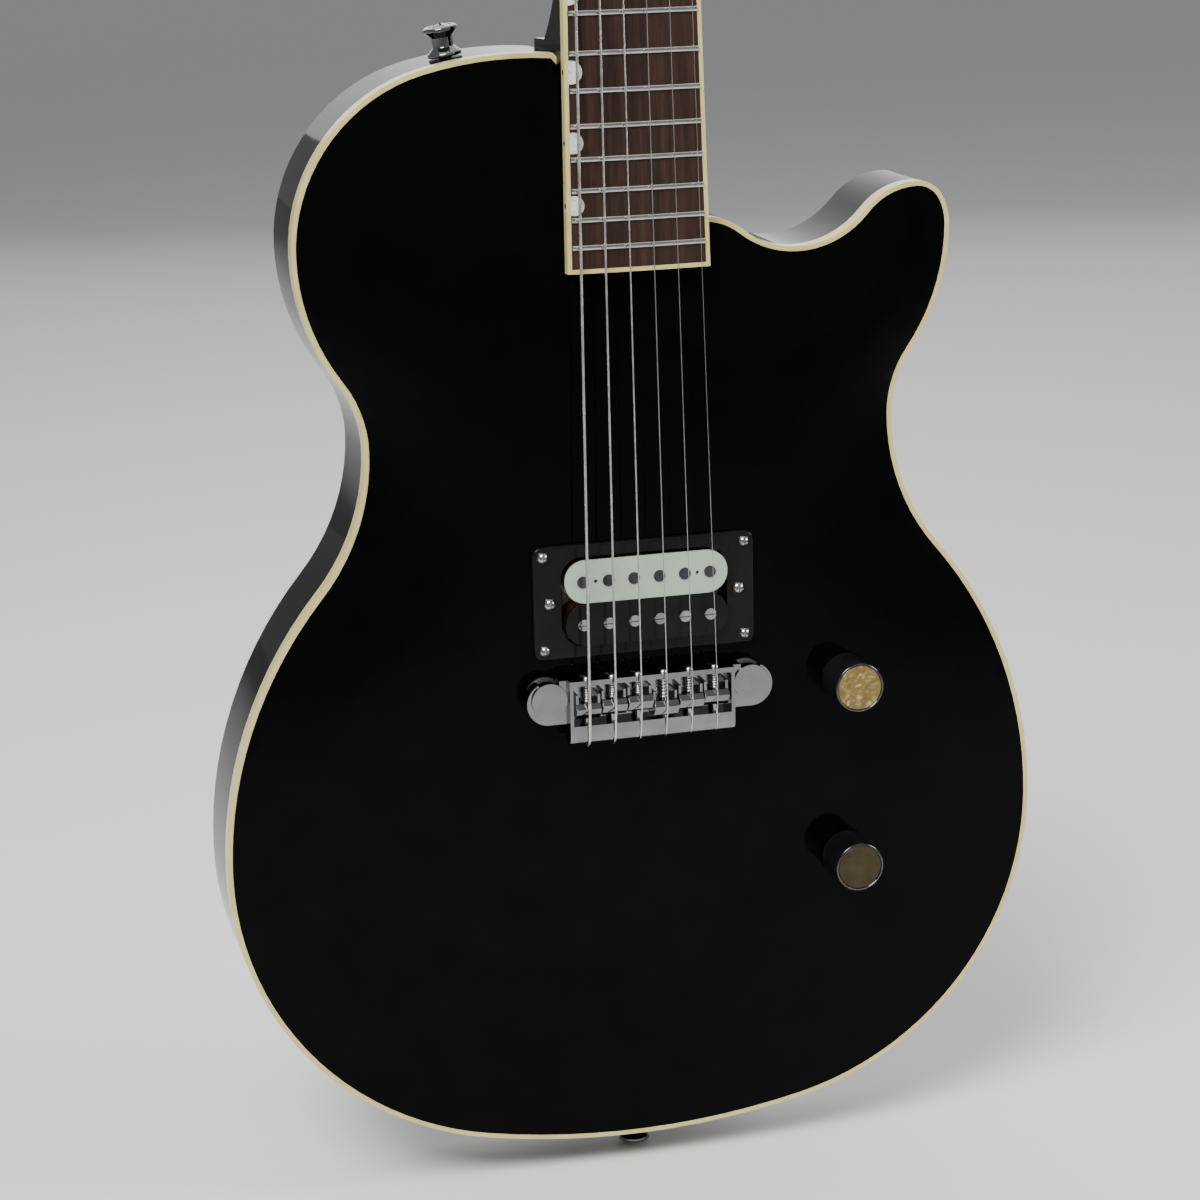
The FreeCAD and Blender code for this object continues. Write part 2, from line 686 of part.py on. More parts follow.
def tunerKey():
    core = rod(worm_root, V(-5.2, 0, 0), V(5.2, 0, 0))
    stem = rod(1.6, V(-button_reach, 0, 0), V(-5.2, 0, 0))
    collar = rod(2.6, V(-button_reach, 0, 0), V(-button_reach + 3.2, 0, 0))
    pad = plate(-8.6, 8.6, -6.2, 6.2, 6.0, -2.4, 2.4)
    round_edges = [e for e in pad.Edges if abs(abs(e.BoundBox.YMin) - 2.4) < 1e-4
                   and abs(e.BoundBox.YMax - e.BoundBox.YMin) < 1e-4]
    pad = pad.makeFillet(1.4, round_edges)
    pad.rotate(V(0, 0, 0), Y, 90)
    pad.translate(V(-button_reach - 5.6, 0, 0))
    key = fuse([core, stem, collar, pad] + wormThread())
    key.translate(V(0, 0, centre_distance))
    return key


post_lift = head_thickness + gear_depth
foot_screw_drop = 10.2


def tunerPost():
    post = rod(post_radius, V(0, -post_lift - post_top, 0), V(0, 4.2, 0))
    post = post.cut(rod(1.1, V(0, -post_lift - winding_depth - 1.6, -5),
                        V(0, -post_lift - winding_depth - 1.6, 5)))
    wheel = rod(4.6, V(0, -1.2, 0), V(0, 1.2, 0))
    teeth = []
    tip = centre_distance - worm_root - 0.25
    for k in range(gear_teeth):
        tooth = box(-thread_width / 2, thread_width / 2, -1.2, 1.2, 4.2, tip)
        tooth.rotate(V(0, 0, 0), Y, k * 360.0 / gear_teeth)
        teeth.append(tooth)
    return fuse([post, wheel] + teeth)


def tunerHousing():
    shell = plate(-8.5, 8.5, -7.6, 12.4, 3.0, -gear_depth, 5.8)
    rim = [e for e in shell.Edges if abs(e.BoundBox.YMin - 5.8) < 1e-4]
    shell = shell.makeFillet(1.2, rim)
    shell = shell.cut(rod(6.3, V(0, -1.7, 0), V(0, 1.7, 0)))
    shell = shell.cut(rod(3.4, V(-5.5, 0, centre_distance), V(5.5, 0, centre_distance)))
    shell = shell.cut(rod(1.6 + turn_fit, V(-9, 0, centre_distance), V(0, 0, centre_distance)))
    shell = shell.cut(rod(post_radius + turn_fit, V(0, -gear_depth - 1, 0), V(0, 4.5, 0)))
    neck_ring = tube(4.9, post_radius + turn_fit, V(0, -gear_depth - 3, 0),
                     V(0, -gear_depth, 0))
    collar = tube(3.4, 1.6 + turn_fit, V(-10.5, 0, centre_distance), V(-8.5, 0, centre_distance))
    foot = plate(-4.0, 4.0, -foot_screw_drop - 3.3, -6.0, 3.0, -gear_depth, -gear_depth + 2.0)
    foot = foot.cut(screwHole(V(0, -gear_depth + 2.0, -foot_screw_drop), rear, 11.0))
    return fuse([shell, neck_ring, collar, foot])


key_base, post_base, housing_base = tunerKey(), tunerPost(), tunerHousing()


def placeTuner(shape, side, px, ph):
    out = shape.copy() if side < 0 else shape.mirror(V(0, 0, 0), X)
    out.translate(V(px, post_lift, ph))
    return onHead(out)


housings = []
for i, (side, px, ph) in enumerate(string_sites):
    save("tuner_key_%d" % (i + 1), placeTuner(key_base, side, px, ph))
    save("tuner_post_%d" % (i + 1), placeTuner(post_base, side, px, ph))
    housings.append(placeTuner(housing_base, side, px, ph))
    seat = V(px, head_thickness + 2.0, ph - foot_screw_drop)
    screw = woodScrew(seat, rear, 11.0)
    screw_list.append(onHead(screw))
    neck = neck.cut(onHead(screwHole(seat, rear, 11.0)))
save("tuner_housings", Part.makeCompound(housings))
save("tuner_bushings", onHead(Part.makeCompound(bushings)))

for place in truss_places:
    screw_list.append(onHead(woodScrew(place, front, 10.0)))
    hole = screwHole(place, front, 10.0)
    truss_cover = truss_cover.cut(hole)
    neck = neck.cut(onHead(hole))
save("truss_rod_cover", onHead(truss_cover))
save("neck", neck)

# ---------------------------------------------------------------- pickup
ring_outer = plate(-ring_length / 2, ring_length / 2, pz - ring_width / 2, pz + ring_width / 2,
                   3.5, top_y - ring_thickness, top_y)
rim = [e for e in ring_outer.Edges if abs(e.BoundBox.YMax - (top_y - ring_thickness)) < 1e-4]
ring_outer = ring_outer.makeFillet(0.8, rim)
# the opening follows the two bobbins with a small gap all round
opening_x, opening_z = bobbin_length / 2 + 0.8, bobbin_width + 0.7
ring_body = ring_outer.cut(plate(-opening_x, opening_x, pz - opening_z, pz + opening_z,
                                 bobbin_width / 2, top_y - 6, top_y + 1))
for place in ring_places:
    ring_body = ring_body.cut(screwHole(place, front, 15.0))
height_screw_radius = 1.35
for sx in (-1, 1):
    ring_body = ring_body.cut(rod(height_screw_radius + 0.1, V(sx * height_screw_x, top_y - 6, pz),
                                  V(sx * height_screw_x, top_y + 2, pz)))
save("pickup_ring", ring_body)

ear_y = top_y + 19.0
screw_length = 26.5
for sx, name in ((-1, "height_screw_bass"), (1, "height_screw_treble")):
    seat = V(sx * height_screw_x, top_y - ring_thickness - 0.05, pz)
    head = domedHead(2.5, 1.8, seat, front).cut(
        crossSlot(seat.add(front * 1.9), front, 3.0, 0.6, 1.1))
    shank = rod(height_screw_radius, seat, seat.sub(front * screw_length))
    save(name, head.fuse(shank).removeSplitter())

# coil springs built of half turns, each a tilted circular arc


def springWire(radius, wire, start, axis, length, turns):
    side = X if abs(axis.x) < 0.5 else Z
    other = axis.cross(side)
    half_pitch = length / (2.0 * turns)
    pieces = []
    for k in range(2 * turns):
        sign = 1 if k % 2 == 0 else -1
        a = start.add(axis * (k * half_pitch)).add(side * (radius * sign))
        b = start.add(axis * ((k + 1) * half_pitch)).sub(side * (radius * sign))
        mid = start.add(axis * ((k + 0.5) * half_pitch)).add(other * (radius * sign))
        span = b.sub(a).Length / 2
        middle = a.add(b) * 0.5
        normal = a.sub(middle).cross(mid.sub(middle)).normalize()
        out = a.sub(middle).normalize()
        disc = Part.Face(Part.Wire(Part.makeCircle(wire, middle.add(out * span),
                                                   out.cross(normal))))
        pieces.append(disc.revolve(middle, normal, 180))
    solids = [p if p.ShapeType == "Solid" else Part.Solid(p) for p in pieces]
    return fuse(solids)


spring_top = top_y + 0.3
spring_span = ear_y - 0.3 - spring_top
springs = []
for sx in (-1, 1):
    springs.append(springWire(2.6, 0.3, V(sx * height_screw_x, spring_top, pz), Y, spring_span, 7))

bobbin_top = top_y - pickup_front
flange = 1.4
bobbin_depth = 11.6


def bobbin(row):
    z = pz + row * row_half
    half = bobbin_width / 2 - 0.05
    plates = [plate(-bobbin_length / 2, bobbin_length / 2, z - half, z + half, half - 0.25,
                    y, y + flange) for y in (bobbin_top, bobbin_top + bobbin_depth - flange)]
    core = plate(-29.5, 29.5, z - 2.9, z + 2.9, 2.8, bobbin_top, bobbin_top + bobbin_depth)
    return fuse(plates + [core])


pole_x = [-pole_spread / 2 + i * pole_spread / 5 for i in range(6)]
slug_z, screw_z = pz + row_half, pz - row_half
base_y = bobbin_top + bobbin_depth + 3.6
slugs = [rod(2.35, V(x, bobbin_top - 0.35, slug_z), V(x, base_y - 0.4, slug_z)) for x in pole_x]
poles = []
for x in pole_x:
    seat = V(x, bobbin_top - 0.55, screw_z)
    head = rod(2.35, seat, seat.add(Y * 1.7))
    slit = box(x - 3, x + 3, seat.y - 1, seat.y + 0.7, screw_z - 0.35, screw_z + 0.35)
    shank = rod(1.45, seat, V(x, base_y + 4.0, screw_z))
    poles.append(head.cut(slit).fuse(shank).removeSplitter().cut(slit))
eyelets = [rod(0.7, V(x, bobbin_top - 1, slug_z), V(x, bobbin_top + bobbin_depth + 1, slug_z))
           for x in ((pole_x[0] + pole_x[1]) / 2, (pole_x[4] + pole_x[5]) / 2)]
slug_bobbin = bobbin(1).cut(Part.makeCompound(slugs)).cut(Part.makeCompound(eyelets))
screw_bobbin = bobbin(-1).cut(Part.makeCompound(
    [rod(2.35, V(x, bobbin_top - 1, screw_z), V(x, bobbin_top + 1.15, screw_z)) for x in pole_x]
    + [rod(1.45, V(x, bobbin_top, screw_z), V(x, base_y, screw_z)) for x in pole_x]))
coils = []
for z in (slug_z, screw_z):
    y0, y1 = bobbin_top + flange, bobbin_top + bobbin_depth - flange
    wound = plate(-32.4, 32.4, z - 8.0, z + 8.0, 7.8, y0, y1)
    coils.append(wound.cut(plate(-29.5, 29.5, z - 2.9, z + 2.9, 2.8, y0 - 1, y1 + 1)))
magnet_y = bobbin_top + bobbin_depth
magnet = box(-31.5, 31.5, magnet_y, base_y, pz - 6.6, pz + 6.2)
magnet = magnet.cut(Part.makeCompound(slugs))
base_plate = plate(-33.6, 33.6, pz - 18.0, pz + 18.0, 1.5, base_y, base_y + 1.0)
legs = []
for sx in (-1, 1):
    x0, x1 = sorted((sx * 32.6, sx * 33.6))
    legs.append(box(x0, x1, base_y, ear_y + 1.0, pz - 5, pz + 5))
    x0, x1 = sorted((sx * 32.6, sx * 42.0))
    legs.append(box(x0, x1, ear_y, ear_y + 1.0, pz - 5, pz + 5))
base_plate = fuse([base_plate] + legs)
for sx in (-1, 1):
    base_plate = base_plate.cut(rod(height_screw_radius + 0.08,
                                    V(sx * height_screw_x, ear_y - 1, pz),
                                    V(sx * height_screw_x, ear_y + 2, pz)))
base_plate = base_plate.cut(Part.makeCompound(
    [rod(1.45, V(x, base_y - 1, screw_z), V(x, base_y + 2, screw_z)) for x in pole_x]))
save("slug_bobbin", slug_bobbin)
save("screw_bobbin", screw_bobbin)
save("pickup_coils", Part.makeCompound(coils))
save("bar_magnet", magnet)
save("slug_poles", Part.makeCompound(slugs))
save("pole_screws", Part.makeCompound(poles))
save("pickup_baseplate", base_plate)

# ---------------------------------------------------------------- bridge


def side(profile, x0, x1):
    # profile in (height above top, along) swept across the body
    pts = [V(x0, top_y - h, bz + z) for h, z in profile]
    return Part.Face(Part.makePolygon(pts + [pts[0]])).extrude(V(x1 - x0, 0, 0))


nose_level = deck - nose_radius
bridge_half = 50.2
hole_level = nose_level - nose_radius
block_half = bay_half + side_wall
main = side([(bridge_foot, nose_height), (bridge_foot, wall_front), (deck, wall_front),
             (deck, nose_height)], -block_half, block_half)
nose = rod(nose_radius, V(-block_half, top_y - nose_level, bz + nose_height),
           V(block_half, top_y - nose_level, bz + nose_height))
ears = []
ear_top = 9.3
for sx in (-1, 1):
    ear = plate(-bridge_half, bridge_half, bz - 10.5, bz + 7.0, 8.7,
                top_y - ear_top, top_y - 3.5)
    ear = ear.common(box(*sorted((sx * 30.0, sx * 60.0)), -90, 50, 0, 400))
    ears.append(ear)
bridge = fuse([main, nose] + ears)
slot_radius = 4.1
for sx in (-1, 1):
    cx = sx * stud_x
    bridge = bridge.cut(rod(slot_radius, V(cx, top_y - 20, bz + stud_height),
                            V(cx, top_y, bz + stud_height)))
    bridge = bridge.cut(box(cx - slot_radius, cx + slot_radius, top_y - 20, top_y,
                            bz + stud_height, bz + 20))
bay = box(-bay_half, bay_half, top_y - deck - 5, top_y - bay_floor, bz + bay_back, bz + bay_front)
bridge = bridge.cut(bay)
for i in range(6):
    xs = stringX(i, spread_at_bridge)
    bridge = bridge.cut(rod(0.75, V(xs, top_y - hole_level + string_radii[i], bz - 25),
                            V(xs, top_y - hole_level + string_radii[i], bz + 10)))
    bridge = bridge.cut(rod(2.1, V(xs, top_y - hole_level + string_radii[i], bz + 3),
                            V(xs, top_y - hole_level + string_radii[i], bz + 10)))
    bridge = bridge.cut(rod(1.1, V(xs, top_y - screw_level, bz + bay_front - 1),
                            V(xs, top_y - screw_level, bz + 10)))
    bridge = bridge.cut(rod(1.1, V(xs, top_y - screw_level, bz + bay_back - 2.0),
                            V(xs, top_y - screw_level, bz + bay_back + 1)))
save("bridge_body", bridge)

studs, anchors = [], []
for sx in (-1, 1):
    foot = V(sx * stud_x, top_y, bz + stud_height)
    thread = rod(3.9, foot.add(Y * 20), foot.sub(Y * 2.0))
    collar = rod(6.3, foot.sub(Y * 2.0), foot.sub(Y * 3.4))
    neck_part = rod(4.0, foot.sub(Y * 3.4), foot.sub(Y * 9.4))
    head = rod(stud_head_radius, foot.sub(Y * 9.4), foot.sub(Y * 10.4))
    dome = domedHead(stud_head_radius, 3.6, foot.sub(Y * 10.4), front)
    stud = fuse([thread, collar, neck_part, head, dome])
    stud = stud.cut(box(foot.x - 8, foot.x + 8, foot.y - 15, foot.y - 12.4,
                        foot.z - 0.7, foot.z + 0.7))
    studs.append(stud)
    anchors.append(tube(5.5, 3.9, foot.sub(Y * 0.0), foot.add(Y * 23.0))
                   .fuse(tube(7.2, 3.9, foot.sub(Y * 1.0), foot)).removeSplitter())
save("bridge_studs", Part.makeCompound(studs))
save("stud_anchors", Part.makeCompound(anchors))

saddle_length = 6.0
screws, coil_springs = [], []
for i in range(6):
    crest = saddle_points[i]
    r = string_radii[i]
    x = stringX(i, spread_at_bridge)
    crest_h = top_y - crest.y - r - string_gap
    zc = crest.z - bz
    body = side([(bay_floor + saddle_fit, zc - 3.8), (bay_floor + saddle_fit, zc + 2.4),
                 (crest_h - 1.6, zc + 2.4), (crest_h, zc + 0.5), (crest_h, zc - 0.3),
                 (crest_h - 2.6, zc - 3.8)], x - saddle_width / 2, x + saddle_width / 2)
    for s in (-1, 1):
        x0, x1 = sorted((x + s * saddle_width / 2, x + s * (saddle_width / 2 - 1.1)))
        body = body.fuse(box(x0, x1, top_y - deck + 1.0, top_y - bay_floor - saddle_fit,
                             crest.z + 2.4, crest.z + 6.0))
    body = body.removeSplitter()
    body = body.cut(rod(1.1 + turn_fit, V(x, top_y - screw_level, crest.z - 8),
                        V(x, top_y - screw_level, crest.z + 8)))
    save("saddle_%d" % (i + 1), body)
    head_seat = V(x, top_y - screw_level, bz + wall_front)
    head = domedHead(1.9, 1.5, head_seat, Z).cut(
        crossSlot(head_seat.add(Z * 1.6), Z, 2.4, 0.5, 0.9))
    shank = rod(1.1, V(x, top_y - screw_level, bz + bay_back - 2.0), head_seat)
    screws.append(head.fuse(shank).removeSplitter())
    coil_start = V(x, top_y - screw_level, crest.z + 2.7)
    coil_length = bz + bay_front - 0.3 - coil_start.z
    coil_springs.append(springWire(1.7, 0.22, coil_start, Z, coil_length, 6))
save("intonation_screws", Part.makeCompound(screws))
save("coil_springs", Part.makeCompound(springs + coil_springs))

# ---------------------------------------------------------------- strings


knuckle = 1.04


def capsule(radius, points):
    pieces = [rod(radius, points[k], points[k + 1]) for k in range(len(points) - 1)]
    pieces += [Part.makeSphere(radius * knuckle, p) for p in points[1:-1]]
    return pieces


strings = []
for i in range(6):
    r = string_radii[i]
    xs = stringX(i, spread_at_bridge)
    crest = saddle_points[i]
    centre = V(xs, top_y - nose_level, bz + nose_height)
    wrap = nose_radius + r + 0.02
    start = V(xs, centre.y + wrap, bz + 4.2)
    under = V(xs, centre.y + wrap, centre.z)
    # tangent from the saddle crest to the round nose
    dy, dz = crest.y - centre.y, crest.z - centre.z
    reach = math.hypot(dy, dz)
    swing = math.acos(wrap / reach)
    toward = math.atan2(-dy, dz)
    leave_angle = toward + swing
    leave = V(xs, centre.y - wrap * math.sin(leave_angle), centre.z + wrap * math.cos(leave_angle))
    disc = Part.Face(Part.Wire(Part.makeCircle(r, under, Z)))
    sweep = 360 - math.degrees(leave_angle) - 90
    turn = disc.revolve(centre, X, -sweep)
    turn = turn if turn.ShapeType == "Solid" else Part.Solid(turn)
    ball = rod(1.9, V(xs - 1.6, start.y, start.z + 0.9), V(xs + 1.6, start.y, start.z + 0.9))
    ball = ball.common(rod(2.05, V(xs, start.y, start.z - 2), V(xs, start.y, start.z + 4)))
    # up over the saddle, along the neck, over the nut
    nut_point = nut_points[i]
    nut_exit = neckToBody(V(stringX(i, spread_at_nut), crown(stringX(i, spread_at_nut))
                            - string_over_nut + 0.55, nut_far + 0.1))
    tuner_side, px, ph = string_sites[i]
    wind = post_radius + r + 0.05
    hx = px - tuner_side * wind

    def headPoint(x, y, z):
        return neckToBody(headToNeck(V(x, y, z)))
    touch = headPoint(hx, -winding_depth, ph)
    before_nut = nut_point.add(crest.sub(nut_point).normalize() * 9)
    for piece in capsule(r * knuckle + 0.01, [before_nut, nut_point, nut_exit, touch]):
        nut_block = nut_block.cut(piece)
    runs = capsule(r, [start, under]) + [turn] + capsule(r, [leave, crest, nut_point, nut_exit,
                                                             touch])
    # windings: half turns round the post, climbing down towards the head
    coil = []
    turns = 2 if i < 3 else 3
    drop = 2 * r + 0.04
    for k in range(2 * turns):
        s = 1 if k % 2 == 0 else -1
        y0 = -winding_depth + k * drop / 2
        a = V(px - tuner_side * wind * s, y0, ph)
        b = V(px + tuner_side * wind * s, y0 + drop / 2, ph)
        mid = V(px, y0 + drop / 4, ph + wind * s)
        middle = a.add(b) * 0.5
        normal = a.sub(middle).cross(mid.sub(middle)).normalize()
        out = a.sub(middle).normalize()
        ring_face = Part.Face(Part.Wire(Part.makeCircle(r, a, out.cross(normal))))
        piece = ring_face.revolve(middle, normal, 180)
        coil.append(onHead(piece if piece.ShapeType == "Solid" else Part.Solid(piece)))
    joint = Part.makeSphere(r * knuckle, touch)
    whole = runs[0]
    strings.append(whole.fuse(runs[1:] + [joint, ball] + coil))
save("strings", Part.makeCompound(strings))
save("nut", nut_block)

# ---------------------------------------------------------------- controls
pot_bodies, pot_nuts = [], []
for kh, name in zip(knob_heights, ("volume", "tone")):
    c = V(knob_x, 0, bz + kh)

    def at(y):
        return V(c.x, y, c.z)
    can = rod(12.0, at(pot_shelf), at(pot_shelf + 9.5))
    stem = rod(4.75, at(top_y - 1.0), at(pot_shelf))
    pot = can.fuse(stem).removeSplitter()
    pot = pot.cut(rod(pot_shaft_radius + turn_fit, at(top_y - 3), at(pot_shelf + 3)))
    pot = pot.cut(rod(9.0, at(pot_shelf + 3), at(pot_shelf + 6.6)))
    tabs = [box(c.x - 14.5, c.x - 9.5, pot_shelf + 1.5, pot_shelf + 2.3, c.z + d - 1.2, c.z + d + 1.2)
            for d in (-5, 0, 5)]
    pot = fuse([pot] + tabs)
    pot_bodies.append(pot)
    nut_ring = hexagon(12.0, at(top_y + 0.5), front, 2.2).fuse(
        rod(7.2, at(top_y + 1.6), at(top_y + 0.5)))
    nut_ring = nut_ring.cut(rod(4.75, at(top_y - 6), at(top_y + 6)))
    nut_ring = nut_ring.cut(top)
    pot_nuts.append(nut_ring)
    shaft_part = rod(pot_shaft_radius, at(top_y - 12.5), at(pot_shelf + 4.2))
    wiper = rod(8.2, at(pot_shelf + 4.2), at(pot_shelf + 5.4))
    save(name + "_shaft", shaft_part.fuse(wiper).removeSplitter())
    barrel = rod(knob_radius, at(top_y - knob_top), at(top_y - knob_bottom))
    ends = [e for e in barrel.Edges if abs(e.BoundBox.YMax - (top_y - knob_top)) < 1e-3
            and e.Closed]
    barrel = barrel.makeFillet(0.5, ends)
    barrel = barrel.cut(rod(8.2, at(top_y - 8.0), at(top_y + 1)))
    barrel = barrel.cut(rod(pot_shaft_radius, at(top_y - 12.5), at(top_y)))
    barrel = barrel.cut(rod(cap_radius, at(top_y - knob_top - 1),
                            at(top_y - knob_top + cap_thickness)))
    save(name + "_knob", barrel)
    save(name + "_knob_cap", rod(cap_radius, at(top_y - knob_top + 0.15),
                                 at(top_y - knob_top + cap_thickness)))
save("potentiometers", Part.makeCompound(pot_bodies))
save("pot_nuts", Part.makeCompound(pot_nuts))

control_cover = coverPlate(cover_margin, back_y - cover_thickness, back_y)
for place in cover_places:
    control_cover = control_cover.cut(screwHole(place, rear, 11.0))
save("control_cover", control_cover)

# barrel jack in the side, its flange let into the wood
flange_x = lower_half_width - 1.4


def jackAt(x):
    return V(x, 0, jack_z)


rim_disc = rod(14.0, jackAt(flange_x), jackAt(flange_x + 2.4))
outer_edges = [e for e in rim_disc.Edges if abs(e.BoundBox.XMin - flange_x - 2.4) < 1e-3]
rim_disc = rim_disc.makeFillet(0.8, outer_edges)
barrel = rod(9.0, jackAt(flange_x - 34), jackAt(flange_x))
collar = rod(5.6, jackAt(flange_x + 2.4), jackAt(flange_x + 3.6))
jack = fuse([rim_disc, barrel, collar])
jack = jack.cut(rod(jack_bore, jackAt(flange_x - 31), jackAt(flange_x + 9)))
save("output_jack", jack)

# wiring: pickup lead, pot to pot, pot to jack, ground to the treble anchor, tone capacitor
wire_y = pot_shelf + 13.0
lead = capsule(1.0, [V(20, base_y + 2.2, pz - 12), V(30, top_y + 20, pz - 8),
                     V(66, top_y + 20, bz - 2), V(70.2, pot_shelf + 8.0, bz - 3)])
link = capsule(0.6, [V(70.4, pot_shelf + 2.95, bz - 10), V(68.5, pot_shelf + 6, bz - 22),
                     V(68.5, pot_shelf + 6, bz - 64), V(70.4, pot_shelf + 2.95, bz - 75)])
out = capsule(0.8, [V(84, pot_shelf + 10.4, bz - 9), V(98, pot_shelf + 14, bz - 30),
                    V(108, 0, jack_z), V(flange_x - 34.2, 0, jack_z)])
earth = capsule(0.6, [V(stud_x + 5.8, anchor_bottom - 4, bz - 3.2),
                      V(control_x0 + 5, anchor_bottom - 4, bz - 12.3)])
cap_body = Part.makeSphere(3.4, V(76, pot_shelf + 14, bz - 40)).common(
    box(60, 100, pot_shelf + 12.4, pot_shelf + 15.6, bz - 50, bz - 30))
cap_leads = capsule(0.4, [V(73.5, pot_shelf + 14, bz - 40), V(70.2, pot_shelf + 10, bz - 46)])
wires = [fuse(lead), fuse(link), fuse(out), fuse(earth), fuse([cap_body] + cap_leads)]
save("wiring", Part.makeCompound(wires))

save("wood_screws", Part.makeCompound(screw_list + button_screws))
save("strap_buttons", Part.makeCompound(buttons))
print("pieces", len(os.listdir("parts")))
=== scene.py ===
import json
import math

import bmesh
import bpy
import numpy
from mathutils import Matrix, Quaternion, Vector
from mathutils.bvhtree import BVHTree

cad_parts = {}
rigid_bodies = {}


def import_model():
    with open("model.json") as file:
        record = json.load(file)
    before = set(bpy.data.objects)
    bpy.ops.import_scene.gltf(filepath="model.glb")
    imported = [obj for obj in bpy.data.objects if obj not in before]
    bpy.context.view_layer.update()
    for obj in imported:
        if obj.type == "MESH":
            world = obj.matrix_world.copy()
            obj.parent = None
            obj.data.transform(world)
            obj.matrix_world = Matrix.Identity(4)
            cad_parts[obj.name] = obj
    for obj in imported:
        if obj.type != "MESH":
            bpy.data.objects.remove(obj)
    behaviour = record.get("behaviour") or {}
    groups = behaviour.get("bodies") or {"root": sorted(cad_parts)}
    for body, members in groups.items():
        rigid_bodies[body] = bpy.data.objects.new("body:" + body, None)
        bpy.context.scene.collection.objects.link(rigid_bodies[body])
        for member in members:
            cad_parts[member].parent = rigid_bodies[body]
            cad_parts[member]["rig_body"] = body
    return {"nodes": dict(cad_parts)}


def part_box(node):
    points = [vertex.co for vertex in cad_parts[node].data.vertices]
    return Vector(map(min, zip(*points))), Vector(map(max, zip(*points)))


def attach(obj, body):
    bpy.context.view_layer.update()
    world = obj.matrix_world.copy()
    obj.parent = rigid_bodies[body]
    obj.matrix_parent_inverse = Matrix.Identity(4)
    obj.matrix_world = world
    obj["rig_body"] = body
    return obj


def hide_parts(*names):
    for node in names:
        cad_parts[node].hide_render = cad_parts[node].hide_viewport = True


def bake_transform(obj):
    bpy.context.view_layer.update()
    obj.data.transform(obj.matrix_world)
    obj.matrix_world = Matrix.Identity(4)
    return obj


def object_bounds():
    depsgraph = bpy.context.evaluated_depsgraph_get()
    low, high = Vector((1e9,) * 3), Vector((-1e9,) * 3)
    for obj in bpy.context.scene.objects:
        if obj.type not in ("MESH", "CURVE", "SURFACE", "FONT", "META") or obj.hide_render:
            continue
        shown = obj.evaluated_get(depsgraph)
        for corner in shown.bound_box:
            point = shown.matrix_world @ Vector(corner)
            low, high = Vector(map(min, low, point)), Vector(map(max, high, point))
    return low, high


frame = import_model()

parts = frame["nodes"]
slotOf = {name: part.data.materials[0].name.split(".")[0] for name, part in parts.items()}
designBox = [list(corner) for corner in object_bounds()]
collection = bpy.context.scene.collection

# ---- camera and studio
cameraSettings = {"place": (-0.3136, -1.1490, 0.5359), "lookAt": (-0.0413, -0.1204, 0.2568),
                  "roll": -1.31, "lens": 91.54}
lens = bpy.data.cameras.new("studioCamera")
lens.lens, lens.sensor_width = cameraSettings["lens"], 36.0
camera = bpy.data.objects.new("studioCamera", lens)
collection.objects.link(camera)
camera.location = cameraSettings["place"]
sight = Vector(cameraSettings["lookAt"]) - camera.location
turned = sight.to_track_quat("-Z", "Y") @ Quaternion((0, 0, 1), math.radians(cameraSettings["roll"]))
camera.rotation_euler = turned.to_euler()
bpy.context.scene.camera = camera
print("camera placed")


# one node of a material tree: linked where an input is a socket, set where it is a value
def addNode(tree, kind, inputs=None, **settings):
    made = tree.nodes.new("ShaderNode" + kind)
    for key, value in settings.items():
        setattr(made, key, value)
    for key, value in (inputs or {}).items():
        if isinstance(value, bpy.types.NodeSocket):
            tree.links.new(value, made.inputs[key])
        else:
            made.inputs[key].default_value = value
    return made


def startFinish(name, **sockets):
    finish = bpy.data.materials.new(name)
    finish.use_nodes = True
    shader = finish.node_tree.nodes["Principled BSDF"]
    for key, value in sockets.items():
        shader.inputs[key.replace("_", " ")].default_value = value
    return finish, finish.node_tree, shader


def placeOn(tree, scale=(1, 1, 1), turn=(0, 0, 0)):
    coords = addNode(tree, "TexCoord")
    return addNode(tree, "Mapping", {"Vector": coords.outputs["Object"], "Scale": scale,
                                     "Rotation": turn}).outputs["Vector"]


def noiseOn(tree, place, scale, detail=3.0, rough=0.55, distortion=0.0):
    return addNode(tree, "TexNoise", {"Vector": place, "Scale": scale, "Detail": detail,
                                      "Roughness": rough, "Distortion": distortion}).outputs["Fac"]


def colourRamp(tree, value, stops):
    ramp = addNode(tree, "ValToRGB", {"Fac": value})
    bands = ramp.color_ramp.elements
    while len(bands) < len(stops):
        bands.new(0.5)
    for band, (place, colour) in zip(bands, stops):
        band.position, band.color = place, (*colour, 1)
    return ramp.outputs["Color"]


def spread(tree, value, low, high, start=0.3, end=0.7):
    return addNode(tree, "MapRange", {"Value": value, "From Min": start, "From Max": end,
                                      "To Min": low, "To Max": high}).outputs["Result"]


def bumpOn(tree, shader, height, strength, distance, below=None):
    inputs = {"Height": height, "Strength": strength, "Distance": distance}
    if below:
        inputs["Normal"] = below
    made = addNode(tree, "Bump", inputs).outputs["Normal"]
    tree.links.new(made, shader.inputs["Normal"])
    return made


